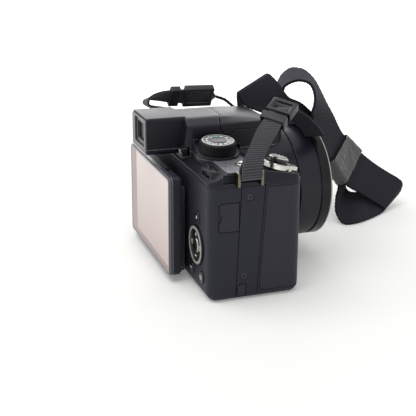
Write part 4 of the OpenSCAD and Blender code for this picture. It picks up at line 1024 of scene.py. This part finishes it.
def spline(points: list[Vector], at: float) -> Vector:
    """Give a point on the smooth curve through some points.

    Args:
        points: The points that the curve passes.
        at: Place on the curve, counted in points.

    Returns:
        The point.
    """
    last = len(points) - 1
    k = min(int(at), last - 1)
    t = at - k
    a, b, c, d = (points[min(max(k + j, 0), last)] for j in (-1, 0, 1, 2))
    return (2 * b + (c - a) * t + (2 * a - 5 * b + 4 * c - d) * t * t + (3 * b - a - 3 * c + d) * t ** 3) / 2


@dataclass
class Strap:
    """Neck strap, in metres: band, two narrow webbings, buckles and the tape round the bundle."""

    band_t: float = 1.6 * MM
    band_step: float = 0.65 * MM
    band_cells: int = 10
    band_ends: int = 3
    web_w: float = 10.0 * MM
    web_t: float = 1.2 * MM
    web_step: float = 0.8 * MM
    web_cells: int = 4
    web_play: float = 1.0 * MM
    dark_from: float = 27.0 * MM
    rib: float = 0.11 * MM
    rib_pitch: float = 2.6 * MM
    fine: int = 16
    tape_t: float = 0.25 * MM
    tape_half: tuple[float, float] = (16.4 * MM, 4.4 * MM)
    tape_round: float = 2.6 * MM
    tape_cells: tuple[int, int] = (96, 26)
    creases: tuple[tuple[float, float], ...] = ((320.0, 0.45 * MM), (130.0, 0.5 * MM))
    buckle_edge: float = 0.45 * MM
    buckle_steps: int = 3
    slider_from: float = 8.0 * MM
    window_rim: float = 1.7 * MM
    window_side: Point = (1, 0, 1)

    def build(self) -> None:
        """Model the strap from its routes and put its pieces in place of the CAD solids."""
        self.build_band()
        self.build_webbing("right_webbing", RIGHT_ROUTE)
        self.build_webbing("left_webbing", LEFT_ROUTE)
        self.build_tape()
        self.build_buckles()

    def build_band(self) -> None:
        """Model the folded neck band."""
        edges = [(Vector(a) * MM, Vector(b) * MM) for a, b in BAND_EDGES]
        band, length = self.sweep("neck_band", edges, self.band_step, self.band_cells, self.band_t, self.rib)
        settle(band, "body", BAND)
        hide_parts("strap_band")

    def build_webbing(self, name: str, route: list[tuple[Point, Point]]) -> None:
        """Model a narrow webbing, dark like the band where it runs forward over the lens.

        Args:
            name: Name of the piece.
            route: Middle and direction across, in millimetres.
        """
        edges = []
        for middle, across in route:
            half = Vector(across).normalized() * self.web_w / 2
            edges.append((Vector(middle) * MM - half, Vector(middle) * MM + half))
        web, length = self.sweep(name, edges, self.web_step, self.web_cells, self.web_t, 0.0)
        settle(web, "body", WEBBING)
        web.data.materials.append(material_of(BAND))
        for face in web.data.polygons:
            face.material_index = int(face.center.y > self.dark_from)
        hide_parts("strap_webbing")

    def sweep(
        self, name: str, edges: Edges, step: float, across: int, thick: float, rib: float
    ) -> tuple[Piece, float]:
        """Lay a grid along two edges and give it thickness.

        Args:
            name: Name of the piece.
            edges: Pairs of edge points in metres.
            step: Distance between rows in metres.
            across: Cells across the width.
            thick: Thickness in metres.
            rib: Height of the ribs across the width in metres.

        Returns:
            The sheet and the length along its middle in metres.
        """
        at = [k / self.fine for k in range((len(edges) - 1) * self.fine + 1)]
        sides = [[spline([e[s] for e in edges], t) for t in at] for s in (0, 1)]
        middle = [(a + b) / 2 for a, b in zip(*sides)]
        run = [0.0]
        for a, b in zip(middle, middle[1:]):
            run.append(run[-1] + (b - a).length)
        length = run[-1]
        first, second = edges[len(edges) // 2]
        sheet = self.grid(name, (round(length / step), across), (length, (second - first).length))
        k = 0
        places: dict[float, tuple[Vector, Vector, Vector]] = {}
        for x in sorted({round(v.co.x, 7) for v in sheet.data.vertices}):
            far = (x + 0.5) * length
            while k < len(run) - 2 and run[k + 1] < far:
                k += 1
            t = min(max((far - run[k]) / (run[k + 1] - run[k]), 0), 1)
            a, b = (side[k].lerp(side[k + 1], t) for side in sides)
            ahead = middle[min(k + 2, len(middle) - 1)] - middle[max(k - 1, 0)]
            lift = ahead.cross(b - a).normalized() * rib * math.sin(math.tau * far / self.rib_pitch)
            places[x] = a, b, lift
        for vertex in sheet.data.vertices:
            a, b, lift = places[round(vertex.co.x, 7)]
            vertex.co = a.lerp(b, vertex.co.y + 0.5) + lift
        finish_with(sheet, "SOLIDIFY", CLOTH_CURVE, thickness=thick, offset=0)
        return sheet, length

    def grid(self, name: str, cells: tuple[int, int], size: tuple[float, float]) -> Piece:
        """Add a flat grid, a metre square, whose UV map is in metres of the finished sheet.

        Args:
            name: Name of the piece.
            cells: How many cells along X and Y.
            size: Length and width of the finished sheet in metres.

        Returns:
            The grid.
        """
        sheet = new_piece(
            name, bpy.ops.mesh.primitive_grid_add, x_subdivisions=cells[0], y_subdivisions=cells[1], size=1,
            calc_uvs=True,
        )
        for loop in sheet.data.uv_layers.active.data:
            loop.uv = loop.uv.x * size[0], loop.uv.y * size[1]
        return sheet

    def tape_outline(self, count: int) -> list[tuple[float, float]]:
        """Give the tape's round-cornered path about the bundle.

        Args:
            count: How many points.

        Returns:
            Places across and through the bundle, in metres, evenly spaced.
        """
        (wide, high), r = self.tape_half, self.tape_round
        legs = [(2 * (wide - r), False), (r, True), (2 * (high - r), False), (r, True)] * 2
        lengths = [size * math.pi / 2 if bent else size for size, bent in legs]
        path = []
        for n in range(count):
            left = sum(lengths) * n / count
            at, heading = Vector((r - wide, -high)), 0.0
            for (size, bent), run in zip(legs, lengths):
                part = min(left, run)
                if bent:
                    turn = part / size
                    pivot = at + Vector((-math.sin(heading), math.cos(heading))) * size
                    heading += turn
                    at = pivot + Vector((math.sin(heading), -math.cos(heading))) * size
                else:
                    at = at + Vector((math.cos(heading), math.sin(heading))) * part
                left -= part
                if left <= 0:
                    break
            path.append((at.x, at.y))
        return path

    def build_tape(self) -> None:
        """Wind the tape once round both layers of the bundle, with creases."""
        around = self.tape_cells[0]
        low, high = ((Vector(a) * MM, Vector(b) * MM) for a, b in TAPE_ENDS)
        path = self.tape_outline(around)
        length = ((high[0] + high[1] - low[0] - low[1]) / 2).length
        loop_length = 4 * sum(self.tape_half) - (8 - math.tau) * self.tape_round
        tape = self.grid("tape_sleeve", self.tape_cells, (loop_length, length))
        for vertex in tape.data.vertices:
            a, b = (low[s].lerp(high[s], vertex.co.y + 0.5) for s in (0, 1))
            out = (b - a).normalized()
            through = (high[0] - low[0]).cross(out).normalized()
            side, rise = path[round((vertex.co.x + 0.5) * around) % around]
            place = (a + b) / 2 + out * side + through * rise
            away = (out * side / self.tape_half[0] + through * rise / self.tape_half[1]).normalized()
            crease = sum(abs(noise.noise(place * often)) * tall for often, tall in self.creases)
            vertex.co = place + away * crease
        pick_faces(tape, lambda face: True)
        bpy.ops.mesh.remove_doubles(threshold=MERGE)
        bpy.ops.mesh.normals_make_consistent(inside=False)
        bpy.ops.object.mode_set(mode="OBJECT")
        finish_with(tape, "SOLIDIFY", CLOTH_CURVE, thickness=self.tape_t, offset=0)
        settle(tape, "body", TAPE)
        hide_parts("strap_sleeve")

    def build_buckles(self) -> None:
        """Model the sliders and keepers, the sliders with a window that shows the webbing."""
        loops = []
        for middle, along, across, *sizes in BUCKLES:
            length, inner, rim = (size * MM for size in sizes)
            size = Vector((length, self.web_w + self.web_play + 2 * rim, inner + 2 * rim))
            loop = start_block("buckle", size)
            open_window(loop, rim, lambda face: abs(face.normal.x) > ALONG)
            if length > self.slider_from:
                under = inner / 2 - rim / 2
                open_window(
                    loop, self.window_rim, lambda face: abs(face.normal.z) > ALONG and face.center.z > under
                )
            soften(loop, self.buckle_edge, self.buckle_steps)
            x, y = Vector(along).normalized(), Vector(across)
            y = (y - x * y.dot(x)).normalized()
            if x.cross(y).dot(Vector(self.window_side)) < 0:
                y = -y
            turn = Matrix((x, y, x.cross(y))).transposed().to_4x4()
            loop.data.transform(Matrix.Translation(Vector(middle) * MM) @ turn)
            loops.append(loop)
        buckles = join_pieces("strap_sliders", loops)
        settle(buckles, "body", ACETAL)
        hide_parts("strap_buckles")


@dataclass(frozen=True)
class Softbox:
    """A square lamp: its name, its place and side in metres, and its power in watts."""

    name: str
    at: Point
    side: float
    power: float


@dataclass
class Studio:
    """Floor, light and viewpoint, in metres, with the photograph's own measures in pixels."""

    camera_at: Point = (0.4147, -0.1452, 0.1793)
    azimuth: float = 71.705
    elevation: float = 14.992
    focal_px: float = 831.3
    frame_px: int = 416
    centre_px: tuple[float, float] = (193.0, 149.6)
    sensor: float = 36.0
    near: float = 0.01
    floor_size: float = 6.0
    floor_colour: str = "#f4f4f2"
    floor_lift: tuple[float, float] = (0.15, 1.0)
    floor_fade: tuple[float, float] = (0.2, 0.8)
    white: str = "#ffffff"
    sky: float = 0.6
    aim: Point = (0.0, 0.0, 0.04)
    softboxes: tuple[Softbox, ...] = (
        Softbox("top_softbox", (0.0, -0.3, 0.95), 0.9, 4.8),
        Softbox("far_softbox", (-1.15, 0.4, 0.5), 0.8, 4.4),
    )

    def build(self) -> None:
        """Set up the floor, the lamps, the world and the camera."""
        self.build_floor()
        self.build_world()
        for box in self.softboxes:
            self.build_lamp(box)
        self.build_camera()
        bpy.context.scene.view_settings.view_transform = "Standard"

    def seen(self, tree: Tree) -> Socket:
        """Give 1 for what the camera sees, directly, mirrored or through glass, and 0 for the rest.

        Args:
            tree: Node tree of the floor or the world.

        Returns:
            The share.
        """
        rays = add_node(tree, "LightPath", {}).outputs
        mirrored = {0: rays["Is Glossy Ray"], 1: rays["Is Transmission Ray"]}
        either = add_node(tree, "Math", mirrored, operation="MAXIMUM")
        seen = {0: rays["Is Camera Ray"], 1: either}
        return add_node(tree, "Math", seen, operation="MAXIMUM").outputs[0]

    def build_floor(self) -> None:
        """Lay a pale floor that keeps the shadow and runs out to white."""
        floor = new_piece("floor", bpy.ops.mesh.primitive_plane_add, size=self.floor_size)
        material = bpy.data.materials.new("white paper sweep")
        tree = empty_tree(material)
        place = add_node(tree, "TexCoord", {}).outputs["Object"]
        far = add_node(tree, "VectorMath", {0: place}, operation="LENGTH").outputs["Value"]
        (start, end), (low, full) = self.floor_fade, self.floor_lift
        fade = add_node(tree, "MapRange", {0: far, 1: start, 2: end, 3: low, 4: full})
        lift = add_node(tree, "Math", {0: self.seen(tree), 1: fade}, operation="MULTIPLY")
        shader = add_node(
            tree, "BsdfPrincipled",
            {
                "Base Color": linear(self.floor_colour), "Roughness": 0.9, "Specular IOR Level": 0.0,
                "Emission Color": linear(self.white), "Emission Strength": lift,
            },
        )
        add_node(tree, "OutputMaterial", {"Surface": shader})
        floor.data.materials.append(material)

    def build_world(self) -> None:
        """Make a white surround that lights the object a little less than it shows."""
        world = bpy.data.worlds.new("studio")
        bpy.context.scene.world = world
        tree = empty_tree(world)
        light, shown = (
            add_node(tree, "Background", {"Color": linear(self.white), "Strength": strength})
            for strength in (self.sky, 1.0)
        )
        mix = add_node(tree, "MixShader", {0: self.seen(tree), 1: light, 2: shown})
        add_node(tree, "OutputWorld", {"Surface": mix})

    def hang(self, data: Union[bpy.types.Light, bpy.types.Camera], at: Vector, look: Vector) -> Piece:
        """Put a lamp or a camera in its place.

        Args:
            data: The lamp or the camera.
            at: Its place in metres.
            look: Direction that it looks in.

        Returns:
            Its object.
        """
        thing = bpy.data.objects.new(data.name, data)
        bpy.context.collection.objects.link(thing)
        thing.location = at
        thing.rotation_mode = "QUATERNION"
        thing.rotation_quaternion = look.to_track_quat("-Z", "Y")
        return thing

    def build_lamp(self, box: Softbox) -> None:
        """Hang a softbox that points at the object.

        Args:
            box: The lamp.
        """
        data = bpy.data.lights.new(box.name, "AREA")
        data.size = box.side
        data.energy = box.power
        self.hang(data, Vector(box.at), Vector(self.aim) - Vector(box.at))

    def build_camera(self) -> None:
        """Set the camera at the photograph's viewpoint."""
        data = bpy.data.cameras.new("viewpoint")
        data.sensor_width = self.sensor
        data.lens = self.focal_px / self.frame_px * self.sensor
        data.shift_x = 0.5 - self.centre_px[0] / self.frame_px
        data.shift_y = self.centre_px[1] / self.frame_px - 0.5
        data.clip_start = self.near
        a, e = math.radians(self.azimuth), math.radians(self.elevation)
        look = Vector((-math.sin(a) * math.cos(e), math.cos(a) * math.cos(e), -math.sin(e)))
        bpy.context.scene.camera = self.hang(data, Vector(self.camera_at), look)


def main() -> None:
    """Build the studio and dress the camera, one sub-assembly after the other."""
    logging.basicConfig(level=logging.INFO, format="%(message)s")
    Studio().build()
    Strap().build()
    CadDress().dress()
    ModeDial().build()
    ShutterTrim().build()
    LensEdgeHighlight().build()
    RearControls().build()
    bpy.context.view_layer.update()


if __name__ == "__main__":
    main()
